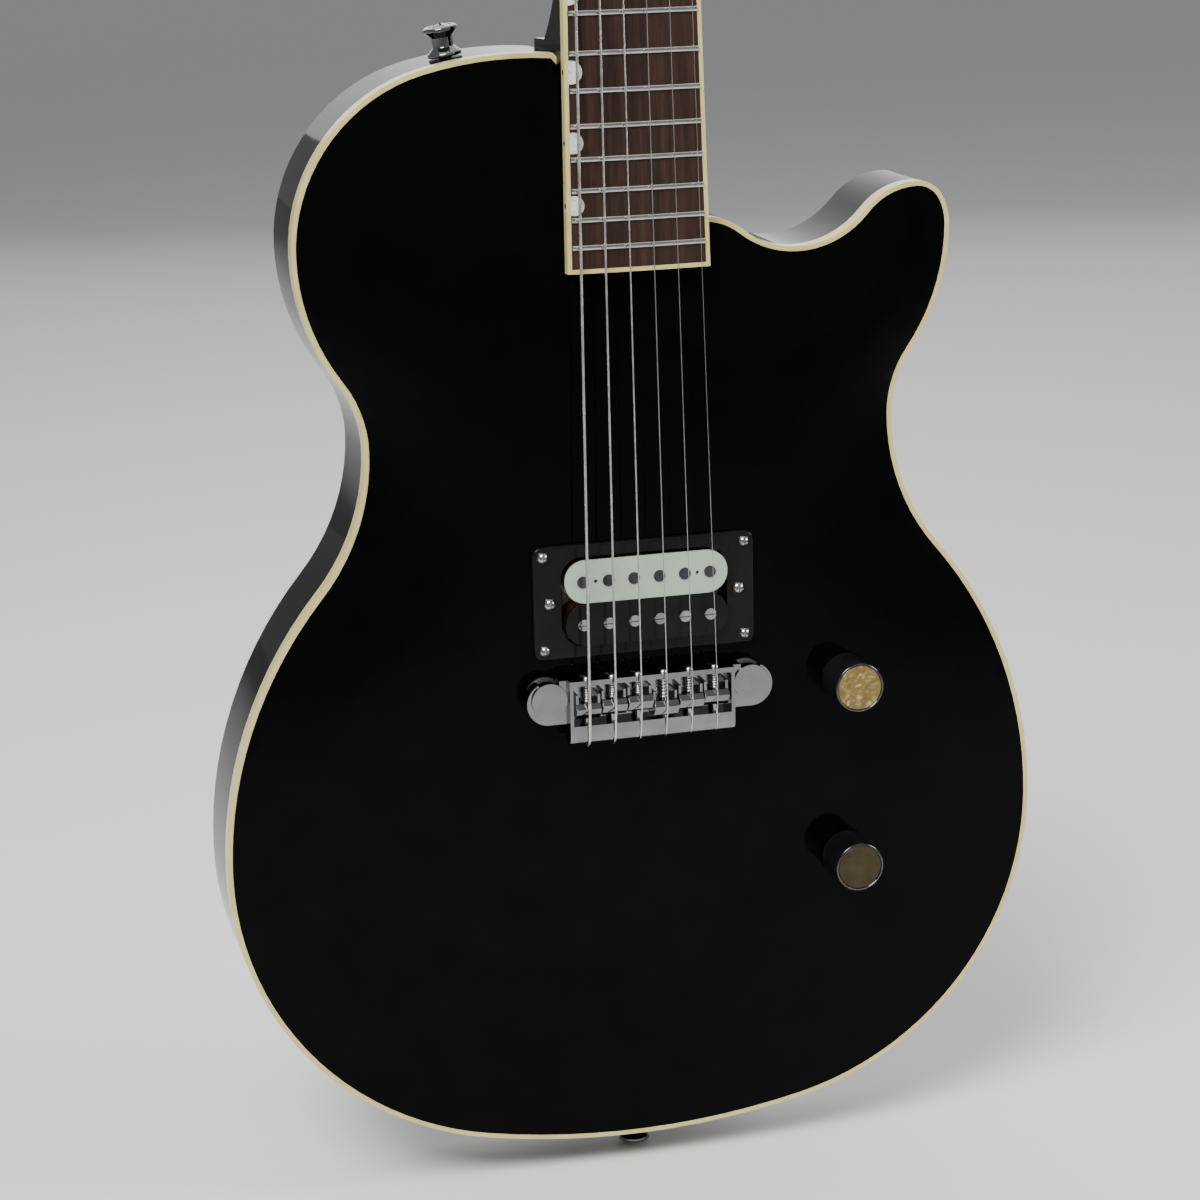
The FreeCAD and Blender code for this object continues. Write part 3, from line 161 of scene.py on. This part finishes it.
# lacquer, plastic, bone: a ground colour that drifts a little, with a fine skin
def mouldedFinish(name, tones, roughness, grain=700.0, skin=0.05, stretch=(1, 1, 1), **sockets):
    finish, tree, shader = startFinish(name, **sockets)
    place = placeOn(tree, stretch)
    drift = noiseOn(tree, place, 60.0, 4.0, 0.6)
    tree.links.new(colourRamp(tree, drift, [(0.32, tones[0]), (0.68, tones[1])]),
                   shader.inputs["Base Color"])
    smudge = noiseOn(tree, place, 210.0, 5.0, 0.62)
    tree.links.new(spread(tree, smudge, *roughness), shader.inputs["Roughness"])
    bumpOn(tree, shader, noiseOn(tree, place, grain, 2.0), skin, 0.0001)
    return finish


# plated or drawn metal: faint brushing along one way and a few duller patches
def metalFinish(name, tones, roughness, brush=(1, 1, 1), grain=1500.0, skin=0.04, **sockets):
    finish, tree, shader = startFinish(name, Metallic=1.0, **sockets)
    place = placeOn(tree, brush)
    drift = noiseOn(tree, placeOn(tree), 90.0, 4.0)
    tree.links.new(colourRamp(tree, drift, [(0.3, tones[0]), (0.7, tones[1])]),
                   shader.inputs["Base Color"])
    marks = noiseOn(tree, place, grain, 4.0, 0.7)
    tree.links.new(spread(tree, marks, *roughness), shader.inputs["Roughness"])
    bumpOn(tree, shader, marks, skin, 0.00005)
    return finish


def woodFinish(name, stops, boardTilt=-1.93):
    finish, tree, shader = startFinish(name, Specular_IOR_Level=0.2)
    turn = (math.radians(boardTilt), 0, 0)
    long = placeOn(tree, (1, 1, 0.035), turn)
    streaks = noiseOn(tree, long, 330.0, 7.0, 0.66, 0.35)
    tree.links.new(colourRamp(tree, streaks, stops), shader.inputs["Base Color"])
    pores = noiseOn(tree, placeOn(tree, (1, 1, 0.06), turn), 2600.0, 2.0, 0.5)
    tree.links.new(spread(tree, pores, 0.62, 0.42), shader.inputs["Roughness"])
    deep = spread(tree, pores, 0.0, 1.0, 0.36, 0.46)
    bumpOn(tree, shader, deep, 0.35, 0.00012)
    return finish


def pearlFinish(name, stops, swirl=230.0, roughness=(0.1, 0.22), **sockets):
    finish, tree, shader = startFinish(name, **sockets)
    place = placeOn(tree)
    clouds = noiseOn(tree, place, swirl, 3.0, 0.5, 2.4)
    tree.links.new(colourRamp(tree, clouds, stops), shader.inputs["Base Color"])
    tree.links.new(spread(tree, clouds, *roughness), shader.inputs["Roughness"])
    bumpOn(tree, shader, clouds, 0.08, 0.0002)
    return finish


# fine ridges across a direction: wound wire, coil windings, a turned face
def ridgedFinish(name, tones, roughness, pitch, direction, depth, **sockets):
    finish, tree, shader = startFinish(name, **sockets)
    place = placeOn(tree)
    drift = noiseOn(tree, place, 160.0, 3.0)
    tree.links.new(colourRamp(tree, drift, [(0.3, tones[0]), (0.7, tones[1])]),
                   shader.inputs["Base Color"])
    tree.links.new(spread(tree, drift, *roughness), shader.inputs["Roughness"])
    ridges = addNode(tree, "TexWave", {"Vector": place, "Scale": 0.314 / pitch},
                     bands_direction=direction).outputs["Fac"]
    bumpOn(tree, shader, ridges, 0.6, depth)
    return finish


creamTones = ((0.46, 0.39, 0.145), (0.54, 0.47, 0.195))
finishes = {
    "black_lacquer": mouldedFinish("blackLacquer", ((0.0007, 0.0008, 0.0008), (0.0011, 0.0013, 0.0012)),
                                   (0.03, 0.06), 900.0, 0.006, Specular_IOR_Level=0.05),
    "cream_binding": mouldedFinish("creamCelluloid", creamTones, (0.26, 0.36), 500.0, 0.03,
                                   Coat_Weight=0.35, Coat_Roughness=0.12, Subsurface_Weight=0.06,
                                   Subsurface_Scale=0.002),
    "rosewood": woodFinish("rosewood", [(0.28, (0.006, 0.003, 0.002)), (0.44, (0.016, 0.0072, 0.0045)),
                                        (0.58, (0.027, 0.012, 0.0072)), (0.76, (0.042, 0.019, 0.012))]),
    # slug steel is painted near black: painted shade of the recessed holes the poles sit in
    "slug_steel": metalFinish("shadedSlugSteel", ((0.05, 0.05, 0.055), (0.10, 0.10, 0.11)), (0.18, 0.3)),
    "fret_nickel": metalFinish("fretNickel", ((0.42, 0.41, 0.39), (0.55, 0.53, 0.50)), (0.12, 0.26),
                               (1, 1, 0.1)),
    "pearl_marker": pearlFinish("pearlInlay", [(0.3, (0.34, 0.38, 0.35)), (0.5, (0.50, 0.53, 0.49)),
                                               (0.7, (0.66, 0.66, 0.61))], Coat_Weight=0.5,
                                Coat_Roughness=0.08),
    "bone_nut": mouldedFinish("boneNut", ((0.72, 0.66, 0.52), (0.84, 0.79, 0.66)), (0.28, 0.4), 800.0,
                              0.04, (1, 1, 3), Subsurface_Weight=0.08, Subsurface_Scale=0.002),
    "steel": metalFinish("groundSteel", ((0.42, 0.42, 0.43), (0.58, 0.58, 0.59)), (0.22, 0.38)),
    "black_plastic": mouldedFinish("blackPlastic", ((0.003, 0.003, 0.003), (0.006, 0.006, 0.005)),
                                   (0.12, 0.2), 1100.0, 0.03, Specular_IOR_Level=0.16),
    # chrome's base colour is held dark as a painted reflection of a dark room, not the plating's own
    # brightness
    "chrome": metalFinish("darkPaintedChrome", ((0.19, 0.195, 0.205), (0.26, 0.265, 0.275)), (0.035, 0.09),
                          grain=700.0, skin=0.008),
    # screw chrome is also held dark as a painted reflection of dark surroundings
    "screw_chrome": metalFinish("darkPaintedScrewChrome", ((0.27, 0.27, 0.28), (0.40, 0.40, 0.41)), (0.08, 0.2),
                                grain=1800.0, skin=0.03),
    "spring_steel": metalFinish("springWire", ((0.50, 0.50, 0.50), (0.68, 0.68, 0.68)), (0.16, 0.3)),
    "string_steel": metalFinish("plainString", ((0.58, 0.57, 0.56), (0.74, 0.73, 0.71)), (0.14, 0.26),
                                (1, 1, 0.05), 2400.0),
    "pale_bobbin": mouldedFinish("mintBobbin", ((0.29, 0.36, 0.28), (0.34, 0.41, 0.32)), (0.3, 0.42),
                                 1300.0, 0.05, Subsurface_Weight=0.05, Subsurface_Scale=0.002),
    "copper": ridgedFinish("copperWinding", ((0.30, 0.10, 0.04), (0.52, 0.20, 0.08)),
                           (0.25, 0.4), 0.00016, "Y", 0.00006, Metallic=1.0),
    "magnet": mouldedFinish("castMagnet", ((0.10, 0.10, 0.11), (0.19, 0.19, 0.20)), (0.45, 0.7), 600.0,
                            0.3, Metallic=0.8),
    "nickel_plate": metalFinish("nickelPlate", ((0.50, 0.48, 0.44), (0.64, 0.62, 0.57)), (0.22, 0.36),
                                (0.15, 1, 1)),
    "anchor_steel": metalFinish("anchorSteel", ((0.40, 0.40, 0.41), (0.54, 0.54, 0.55)), (0.25, 0.42)),
    "knob_black": mouldedFinish("knobBarrel", ((0.004, 0.004, 0.005), (0.009, 0.009, 0.010)),
                                (0.05, 0.1), 900.0, 0.01, Coat_Weight=0.8, Coat_Roughness=0.03),
    "amber_cap": pearlFinish("amberPearlCap", [(0.34, (0.115, 0.072, 0.017)), (0.54, (0.17, 0.118, 0.036)),
                                               (0.70, (0.38, 0.31, 0.155))], 170.0, (0.12, 0.3),
                             Specular_IOR_Level=0.3),
    "wire_insulation": mouldedFinish("wireInsulation", ((0.04, 0.04, 0.04), (0.08, 0.08, 0.08)),
                                     (0.4, 0.55), 900.0, 0.1),
}
woundFinish = ridgedFinish("woundString", ((0.56, 0.54, 0.51), (0.72, 0.70, 0.67)), (0.2, 0.32),
                           0.0003, "Z", 0.00002, Metallic=1.0)
for name, part in parts.items():
    part.data.materials[0] = finishes[slotOf[name]]
print("finishes mixed:", len(finishes) + 1)


# ---- making a dressed copy of a drawn part
mergeGap = 0.000003


def mergedCopy(*names):
    shape = bmesh.new()
    for name in names:
        shape.from_mesh(parts[name].data)
    bmesh.ops.remove_doubles(shape, verts=shape.verts, dist=mergeGap)
    return shape


def bendOf(edge):
    return math.degrees(edge.calc_face_angle(0.0)) if len(edge.link_faces) == 2 else 180.0


def flattenFaces(shape, angle=0.6):
    bmesh.ops.dissolve_limit(shape, angle_limit=math.radians(angle), verts=shape.verts,
                             edges=shape.edges, use_dissolve_boundaries=False)


def roundEdges(shape, width, segments=2, sharper=38.0, keep=None):
    chosen = [e for e in shape.edges if len(e.link_faces) == 2 and bendOf(e) > sharper
              and (keep is None or keep(e))]
    bmesh.ops.bevel(shape, geom=chosen, offset=width, offset_type="OFFSET", segments=segments,
                    profile=0.5, affect="EDGES", clamp_overlap=True, material=-1)


def finishPiece(shape, name, names, finish=None, smooth=34.0, evenNormals=True, between=None):
    for face in shape.faces:
        face.smooth = True
    for edge in shape.edges:
        edge.smooth = bendOf(edge) < smooth
    mesh = bpy.data.meshes.new(name)
    shape.to_mesh(mesh)
    shape.free()
    mesh.materials.append(finish or finishes[slotOf[names[0]]])
    piece = bpy.data.objects.new(name, mesh)
    collection.objects.link(piece)
    if evenNormals:
        even = piece.modifiers.new("evenNormals", "WEIGHTED_NORMAL")
        even.keep_sharp, even.weight = True, 50
    if between:
        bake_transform(piece)
    else:
        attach(piece, parts[names[0]]["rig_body"])
    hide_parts(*names)
    return piece


def splitByIsland(shape, test):
    seen, gone = set(), []
    for start in shape.verts:
        if start in seen:
            continue
        island, queue = [], [start]
        seen.add(start)
        while queue:
            vert = queue.pop()
            island.append(vert)
            for edge in vert.link_edges:
                other = edge.other_vert(vert)
                if other not in seen:
                    seen.add(other)
                    queue.append(other)
        if not test([v.co for v in island]):
            gone += island
    bmesh.ops.delete(shape, geom=gone, context="VERTS")
    return shape


# ---- arched front
frontSizes = {"cell": 0.0045, "grid": 0.0015, "fillPasses": 300, "passes": 420, "last": 6, "weld": 0.0004,
              "eye": -0.2, "margin": 4, "facing": -0.5, "flatter": 12,
              "edgeLevel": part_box("top_binding")[0].y}


# heights of the arch on a square grid, evened out between the crown and the rim
def archHeights():
    crown = BVHTree.FromBMesh(mergedCopy("body_top"))
    rim = BVHTree.FromBMesh(mergedCopy("top_binding"))
    within = BVHTree.FromBMesh(mergedCopy("body_back", "control_cover"))
    low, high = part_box("body_top")
    step, edge = frontSizes["grid"], frontSizes["edgeLevel"]
    margin = frontSizes["margin"]
    start = (low.x - margin * step, low.z - margin * step)
    columns, rows = (int((high[axis] - low[axis]) / step) + 2 * margin + 1 for axis in (0, 2))
    heights = numpy.full((columns, rows), edge)
    free, unknown = (numpy.zeros((columns, rows), bool) for _ in range(2))
    ahead = Vector((0, 1, 0))
    for i in range(columns):
        for j in range(rows):
            eye = Vector((start[0] + i * step, frontSizes["eye"], start[1] + j * step))
            place = crown.ray_cast(eye, ahead)[0]
            if place and place.y < edge:
                heights[i, j], free[i, j] = place.y, True
            elif not rim.ray_cast(eye, ahead)[0] and within.ray_cast(eye, ahead)[0]:
                heights[i, j], free[i, j], unknown[i, j] = low.y, True, True

    def spreadOut(field, where, passes):
        field = field.copy()
        for _ in range(passes):
            mean = (numpy.roll(field, 1, 0) + numpy.roll(field, -1, 0) + numpy.roll(field, 1, 1)
                    + numpy.roll(field, -1, 1)) / 4
            field[where] = mean[where]
        return field

    heights = spreadOut(heights, unknown, frontSizes["fillPasses"])
    once = spreadOut(heights, free, frontSizes["passes"])
    twice = spreadOut(2 * heights - once, free, frontSizes["passes"])
    evened = spreadOut(numpy.maximum(twice, low.y), free | ~free, frontSizes["last"])

    def heightAt(x, z):
        u, v = (x - start[0]) / step, (z - start[1]) / step
        i, j = int(u), int(v)
        u, v = u - i, v - j
        return ((evened[i, j] * (1 - u) + evened[i + 1, j] * u) * (1 - v)
                + (evened[i, j + 1] * (1 - u) + evened[i + 1, j + 1] * u) * v)
    return heightAt


def archedFront():
    heightAt = archHeights()
    shape = mergedCopy("body_top")

    def frontFaces():
        return [f for f in shape.faces if f.material_index == 1]

    def freeVerts():
        return [v for v in shape.verts if v.link_faces and all(f.material_index for f in v.link_faces)]

    for face in shape.faces:
        middle = face.calc_center_median()
        face.material_index = int(face.normal.y < frontSizes["facing"]
                                  and middle.y < frontSizes["edgeLevel"])
    bmesh.ops.dissolve_limit(shape, angle_limit=math.radians(frontSizes["flatter"]), verts=freeVerts(),
                             edges=[e for e in shape.edges if all(f.material_index for f in e.link_faces)],
                             use_dissolve_boundaries=False)
    low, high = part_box("body_top")
    for axis in (0, 2):
        normal = Vector((axis == 0, 0, axis == 2))
        count = int((high[axis] - low[axis]) / frontSizes["cell"])
        for step in range(1, count):
            level = low[axis] + (high[axis] - low[axis]) * step / count
            crossing = [f for f in frontFaces()
                        if min(v.co[axis] for v in f.verts) < level < max(v.co[axis] for v in f.verts)]
            geometry = set(crossing)
            for face in crossing:
                geometry.update(face.edges)
                geometry.update(face.verts)
            bmesh.ops.bisect_plane(shape, geom=list(geometry), dist=0.00002,
                                   plane_co=normal * level, plane_no=normal)
    free = set(freeVerts())
    onto = {}
    for vert in free:
        near = [(e.calc_length(), e.other_vert(vert)) for e in vert.link_edges
                if e.other_vert(vert) not in free]
        if near:
            length, other = min(near, key=lambda pair: pair[0])
            if length < frontSizes["weld"]:
                onto[vert] = other
    bmesh.ops.weld_verts(shape, targetmap=onto)
    bmesh.ops.remove_doubles(shape, verts=freeVerts(), dist=frontSizes["weld"])
    gaps = bmesh.ops.holes_fill(shape, edges=[e for e in shape.edges if len(e.link_faces) == 1], sides=9)
    for face in gaps["faces"]:
        face.material_index = 1
    bmesh.ops.triangulate(shape, faces=frontFaces())
    bmesh.ops.recalc_face_normals(shape, faces=shape.faces)
    bmesh.ops.delete(shape, geom=[e for e in shape.edges if not e.link_faces], context="EDGES")
    for vert in freeVerts():
        vert.co.y = heightAt(vert.co.x, vert.co.z)
    for face in shape.faces:
        face.material_index = 0
    print("front:", len(shape.faces), "faces")
    return finishPiece(shape, "archedFront", ["body_top"], evenNormals=False)


archedFront()

# ---- edges and shells
bindingSizes = {"round": 0.0012, "segments": 4}
shape = mergedCopy("top_binding")
flattenFaces(shape)
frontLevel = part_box("top_binding")[0].y
roundEdges(shape, bindingSizes["round"], bindingSizes["segments"], 60.0,
           lambda e: all(v.co.y < frontLevel + 0.0001 for v in e.verts) and
           any(f.normal.y > -0.5 and f.calc_center_median().y > frontLevel for f in e.link_faces))
finishPiece(shape, "bodyBinding", ["top_binding"])
print("binding rounded")

# width of each softened edge in metres, how many steps, and the piece's own name
softened = {
    "body_back": (0.0, 1, "bodyShell"),
    "neck": (0.0, 1, "neckShell"),
    "fingerboard": (0.0, 1, "fretboardWood"),
    "fingerboard_binding": (0.0005, 2, "boardBinding"),
    "frets": (0.0, 1, "fretWires"),
    "nut": (0.0002, 2, "stringNut"),
    "truss_rod_cover": (0.0003, 2, "rodCover"),
    "pickup_ring": (0.0004, 3, "pickupRing"),
    "slug_bobbin": (0.0005, 3, "mintBobbin"),
    "screw_bobbin": (0.0005, 3, "blackBobbin"),
    "pole_screws": (0.0001, 2, "poleScrews"),
    "bridge_body": (0.0003, 2, "bridgeBody"),
    "bridge_studs": (0.0002, 2, "bridgeStuds"),
    "intonation_screws": (0.0, 1, "intonationScrews"),
    "wood_screws": (0.0, 1, "woodScrews"),
    "strap_buttons": (0.0003, 2, "strapButtons"),
    "tuner_housings": (0.0002, 2, "tunerHousings"),
    "tuner_bushings": (0.0002, 2, "tunerBushings"),
    "control_cover": (0.0003, 2, "controlCover"),
    "output_jack": (0.0, 1, "outputJack"),
    "height_screw_bass": (0.0, 1, "bassHeightScrew"),
    "height_screw_treble": (0.0, 1, "trebleHeightScrew"),
    "pot_nuts": (0.0, 1, "controlNuts"),
}
for number in range(1, 7):
    softened[f"saddle_{number}"] = (0.0002, 2, f"saddle{number}")
    softened[f"tuner_key_{number}"] = (0.0, 1, f"tunerKey{number}")
    softened[f"tuner_post_{number}"] = (0.0, 1, f"tunerPost{number}")
for name, (width, steps, pieceName) in softened.items():
    shape = mergedCopy(name)
    if width:
        flattenFaces(shape)
        roundEdges(shape, width, steps)
    finishPiece(shape, pieceName, [name])
print("edges softened:", len(softened))

shape = mergedCopy("slug_poles")
# the slug poles take the steel painted dark as shade of their recesses
finishPiece(shape, "slugPoles", ["slug_poles"], finishes["slug_steel"])


# ---- knobs: a turned barrel with an inlaid disc
def turnedPiece(profile, centre, name, node, finish=None, steps=72):
    shape = bmesh.new()
    points = [shape.verts.new((radius, depth, 0)) for radius, depth in profile]
    lines = [shape.edges.new(pair) for pair in zip(points, points[1:])]
    bmesh.ops.spin(shape, geom=points + lines, cent=(0, 0, 0), axis=(0, 1, 0), steps=steps,
                   angle=math.radians(360), use_merge=True)
    bmesh.ops.remove_doubles(shape, verts=shape.verts, dist=0.000002)
    bmesh.ops.recalc_face_normals(shape, faces=shape.faces)
    bmesh.ops.translate(shape, verts=shape.verts, vec=centre)
    return finishPiece(shape, name, [node], finish, 40.0)


knobSizes = {"radius": 0.010, "edge": 0.0005, "capRadius": 0.0092, "capSink": 0.00015, "wall": 0.0018,
             "capThickness": 0.0016, "shaft": 0.003, "hollow": 0.0104, "skirt": 0.0074, "floor": 0.0016}
brushedCap = ridgedFinish("amberBrushedCap", ((0.024, 0.017, 0.006), (0.040, 0.029, 0.011)),
                          (0.24, 0.4), 0.00045, "DIAGONAL", 0.00005, Specular_IOR_Level=0.2)
for name, capFinish in (("volume", None), ("tone", brushedCap)):
    low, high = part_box(name + "_knob")
    middle = (low + high) / 2
    top, bottom = low.y, high.y
    outer, edge, seat = knobSizes["radius"], knobSizes["edge"], knobSizes["capRadius"]
    inner = outer - knobSizes["wall"]
    deepest = bottom - knobSizes["hollow"] - knobSizes["floor"]
    barrel = [(0, top + knobSizes["capThickness"]), (seat, top + knobSizes["capThickness"]),
              (seat, top + edge * 0.2), (seat + edge * 0.2, top), (outer - edge, top)]
    for angle in (math.radians(a) for a in (30, 60, 90)):
        barrel.append((outer - edge + edge * math.sin(angle), top + edge - edge * math.cos(angle)))
    barrel += [(outer, (top + bottom) / 2), (outer, bottom - edge), (outer - edge * 0.6, bottom),
               (inner, bottom), (inner, bottom - knobSizes["skirt"]),
               (knobSizes["shaft"], bottom - knobSizes["skirt"]), (knobSizes["shaft"], deepest), (0, deepest)]
    turnedPiece(barrel, (middle.x, 0, middle.z), name + "Barrel", name + "_knob")
    face, back = top + knobSizes["capSink"], top + knobSizes["capThickness"]
    cap = [(0, face - 0.00012), (seat * 0.5, face - 0.00009), (seat - 0.0004, face),
           (seat - 0.00008, face + 0.0003), (seat - 0.00002, back), (0, back)]
    turnedPiece(cap, (middle.x, 0, middle.z), name + "Cap", name + "_knob_cap", capFinish)
print("knobs turned")

# ---- springs and strings, each cut out as a piece of its own, lying between a fixed end and the piece that moves
def extent(shape):
    return [Vector(pick(v.co[axis] for v in shape.verts) for axis in range(3)) for pick in (min, max)]


base, pickupBody = parts["bridge_body"]["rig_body"], parts["pickup_baseplate"]["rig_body"]
saddles = {}
for number in range(1, 7):
    low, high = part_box(f"saddle_{number}")
    saddles[number] = ((low.x + high.x) / 2, high.z, parts[f"saddle_{number}"]["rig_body"])


def middleOf(places, axis):
    values = [p[axis] for p in places]
    return (min(values) + max(values)) / 2


def saddleAt(x):
    return min(saddles, key=lambda number: abs(saddles[number][0] - x))


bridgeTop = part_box("bridge_body")[1].z
for number, (x, _, saddleBody) in saddles.items():
    shape = splitByIsland(mergedCopy("coil_springs"), lambda places: middleOf(places, 2) < bridgeTop
                          and saddleAt(middleOf(places, 0)) == number)
    low, high = extent(shape)
    finishPiece(shape, f"saddleSpring{number}", ["coil_springs"],
                between=(base, saddleBody, (x, 0, high.z), (x, 0, low.z)))
for side, pieceName in ((-1, "bassPickupSpring"), (1, "treblePickupSpring")):
    shape = splitByIsland(mergedCopy("coil_springs"), lambda places: middleOf(places, 2) > bridgeTop
                          and places[0].x * side > 0)
    low, high = extent(shape)
    finishPiece(shape, pieceName, ["coil_springs"],
                between=(base, pickupBody, (0, low.y, 0), (0, high.y, 0)))

leadSizes = {"end": 0.0215, "moves": 0.024, "still": 0.036}
stringEnds = {"anchor": 0.18, "nut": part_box("nut")[0].z, "beforeCrest": 0.002}


# the part of a closed shape on one side of a level, closed again
def halfOf(shape, axis, level, above):
    half = shape.copy()
    bmesh.ops.bisect_plane(half, geom=half.verts[:] + half.edges[:] + half.faces[:],
                           plane_co=Vector(level if k == axis else 0 for k in range(3)),
                           plane_no=Vector(k == axis for k in range(3)), clear_inner=above,
                           clear_outer=not above)
    bmesh.ops.holes_fill(half, edges=[e for e in half.edges if len(e.link_faces) == 1], sides=0)
    bmesh.ops.recalc_face_normals(half, faces=half.faces)
    return half


# the run inside the bridge stays, and the runs either side of the crest are cut out as pieces of their own
for number, (x, saddleHigh, saddleBody) in saddles.items():
    whole = splitByIsland(mergedCopy("strings"), lambda places: saddleAt(
        middleOf([p for p in places if p.z < bridgeTop], 0)) == number)
    crest = min(whole.verts, key=lambda v: v.co.y).co.copy()
    inner = max(v.co.y for v in whole.verts if v.co.z < crest.z)
    behind = halfOf(whole, 2, crest.z, False)
    middle = (crest.y + inner) / 2
    ahead = halfOf(whole, 2, crest.z, True)
    stub = splitByIsland(ahead.copy(), lambda places: max(p.z for p in places) < stringEnds["nut"])
    long = splitByIsland(ahead, lambda places: max(p.z for p in places) >= stringEnds["nut"])
    buried, tail = halfOf(behind, 1, middle, True), halfOf(behind, 1, middle, False)
    joined = bpy.data.meshes.new("joined")
    stub.to_mesh(joined)
    buried.from_mesh(joined)
    bpy.data.meshes.remove(joined)
    finish = woundFinish if x < 0 else None
    finishPiece(buried, f"string{number}Anchor", ["strings"], finish, 50.0)
    finishPiece(tail, f"string{number}Tail", ["strings"], finish, 50.0,
                between=(base, saddleBody, (x, 0, stringEnds["anchor"]),
                         (x, 0, crest.z - stringEnds["beforeCrest"])))
    finishPiece(long, f"string{number}", ["strings"], finish, 50.0,
                between=(saddleBody, base, (x, 0, saddleHigh), (x, 0, stringEnds["nut"])))
    for spare in (whole, behind, stub):
        spare.free()

shape = splitByIsland(mergedCopy("wiring"), lambda places: min(p.x for p in places) > leadSizes["end"])
finishPiece(shape, "controlWires", ["wiring"])
shape = splitByIsland(mergedCopy("wiring"), lambda places: min(p.x for p in places) <= leadSizes["end"])
finishPiece(shape, "pickupLead", ["wiring"],
            between=(pickupBody, base, (leadSizes["moves"], 0, 0), (leadSizes["still"], 0, 0)))


dotLimit = 0.0025


def smallPiece(places):
    return max(p.z for p in places) - min(p.z for p in places) < dotLimit


finishPiece(splitByIsland(mergedCopy("position_markers"), lambda p: not smallPiece(p)), "pearlInlays",
            ["position_markers"])
dots = finishPiece(splitByIsland(mergedCopy("position_markers"), smallPiece), "sideDots",
                   ["position_markers"], finishes["black_plastic"])
print("strings and markers made")

# ---- floor and light
floorSettings = {"half": 14.0, "tone": (0.66, 0.66, 0.65), "gap": 0.0005}
ground = bmesh.new()
bmesh.ops.create_grid(ground, x_segments=1, y_segments=1, size=floorSettings["half"])
bmesh.ops.translate(ground, verts=ground.verts, vec=(0, 0, designBox[0][2] - floorSettings["gap"]))
floorMesh = bpy.data.meshes.new("studioFloor")
ground.to_mesh(floorMesh)
ground.free()
floor = bpy.data.objects.new("studioFloor", floorMesh)
collection.objects.link(floor)
floorMesh.materials.append(mouldedFinish("paleFloor", (floorSettings["tone"],) * 2, (0.7, 0.8), 300.0,
                                         0.01))

aimHeight = 0.35
lightSettings = {"key": ((-1.3, -1.6, 2.5), 1.5, 24, 60), "side": ((2.3, -1.0, 1.3), 1.0, 7, 60),
                 "crown": ((0.2, 0.5, 2.9), 3.0, 13, 120), "rear": ((0.6, 2.4, 1.6), 2.6, 16, 120)}
for name, (place, size, power, throw) in lightSettings.items():
    lamp = bpy.data.lights.new(name + "Light", "AREA")
    lamp.shape, lamp.size, lamp.energy = "SQUARE", size, power
    lamp.spread = math.radians(throw)
    light = bpy.data.objects.new(name + "Light", lamp)
    collection.objects.link(light)
    light.location = place
    light.rotation_euler = (Vector((0, 0, aimHeight)) - Vector(place)).to_track_quat("-Z", "Y").to_euler()
    light.visible_camera = False
world = bpy.data.worlds.new("studioWorld")
world.use_nodes = True
world.node_tree.nodes["Background"].inputs["Color"].default_value = (0.80, 0.81, 0.83, 1)
world.node_tree.nodes["Background"].inputs["Strength"].default_value = 0.42
bpy.context.scene.world = world
print("floor and light set")
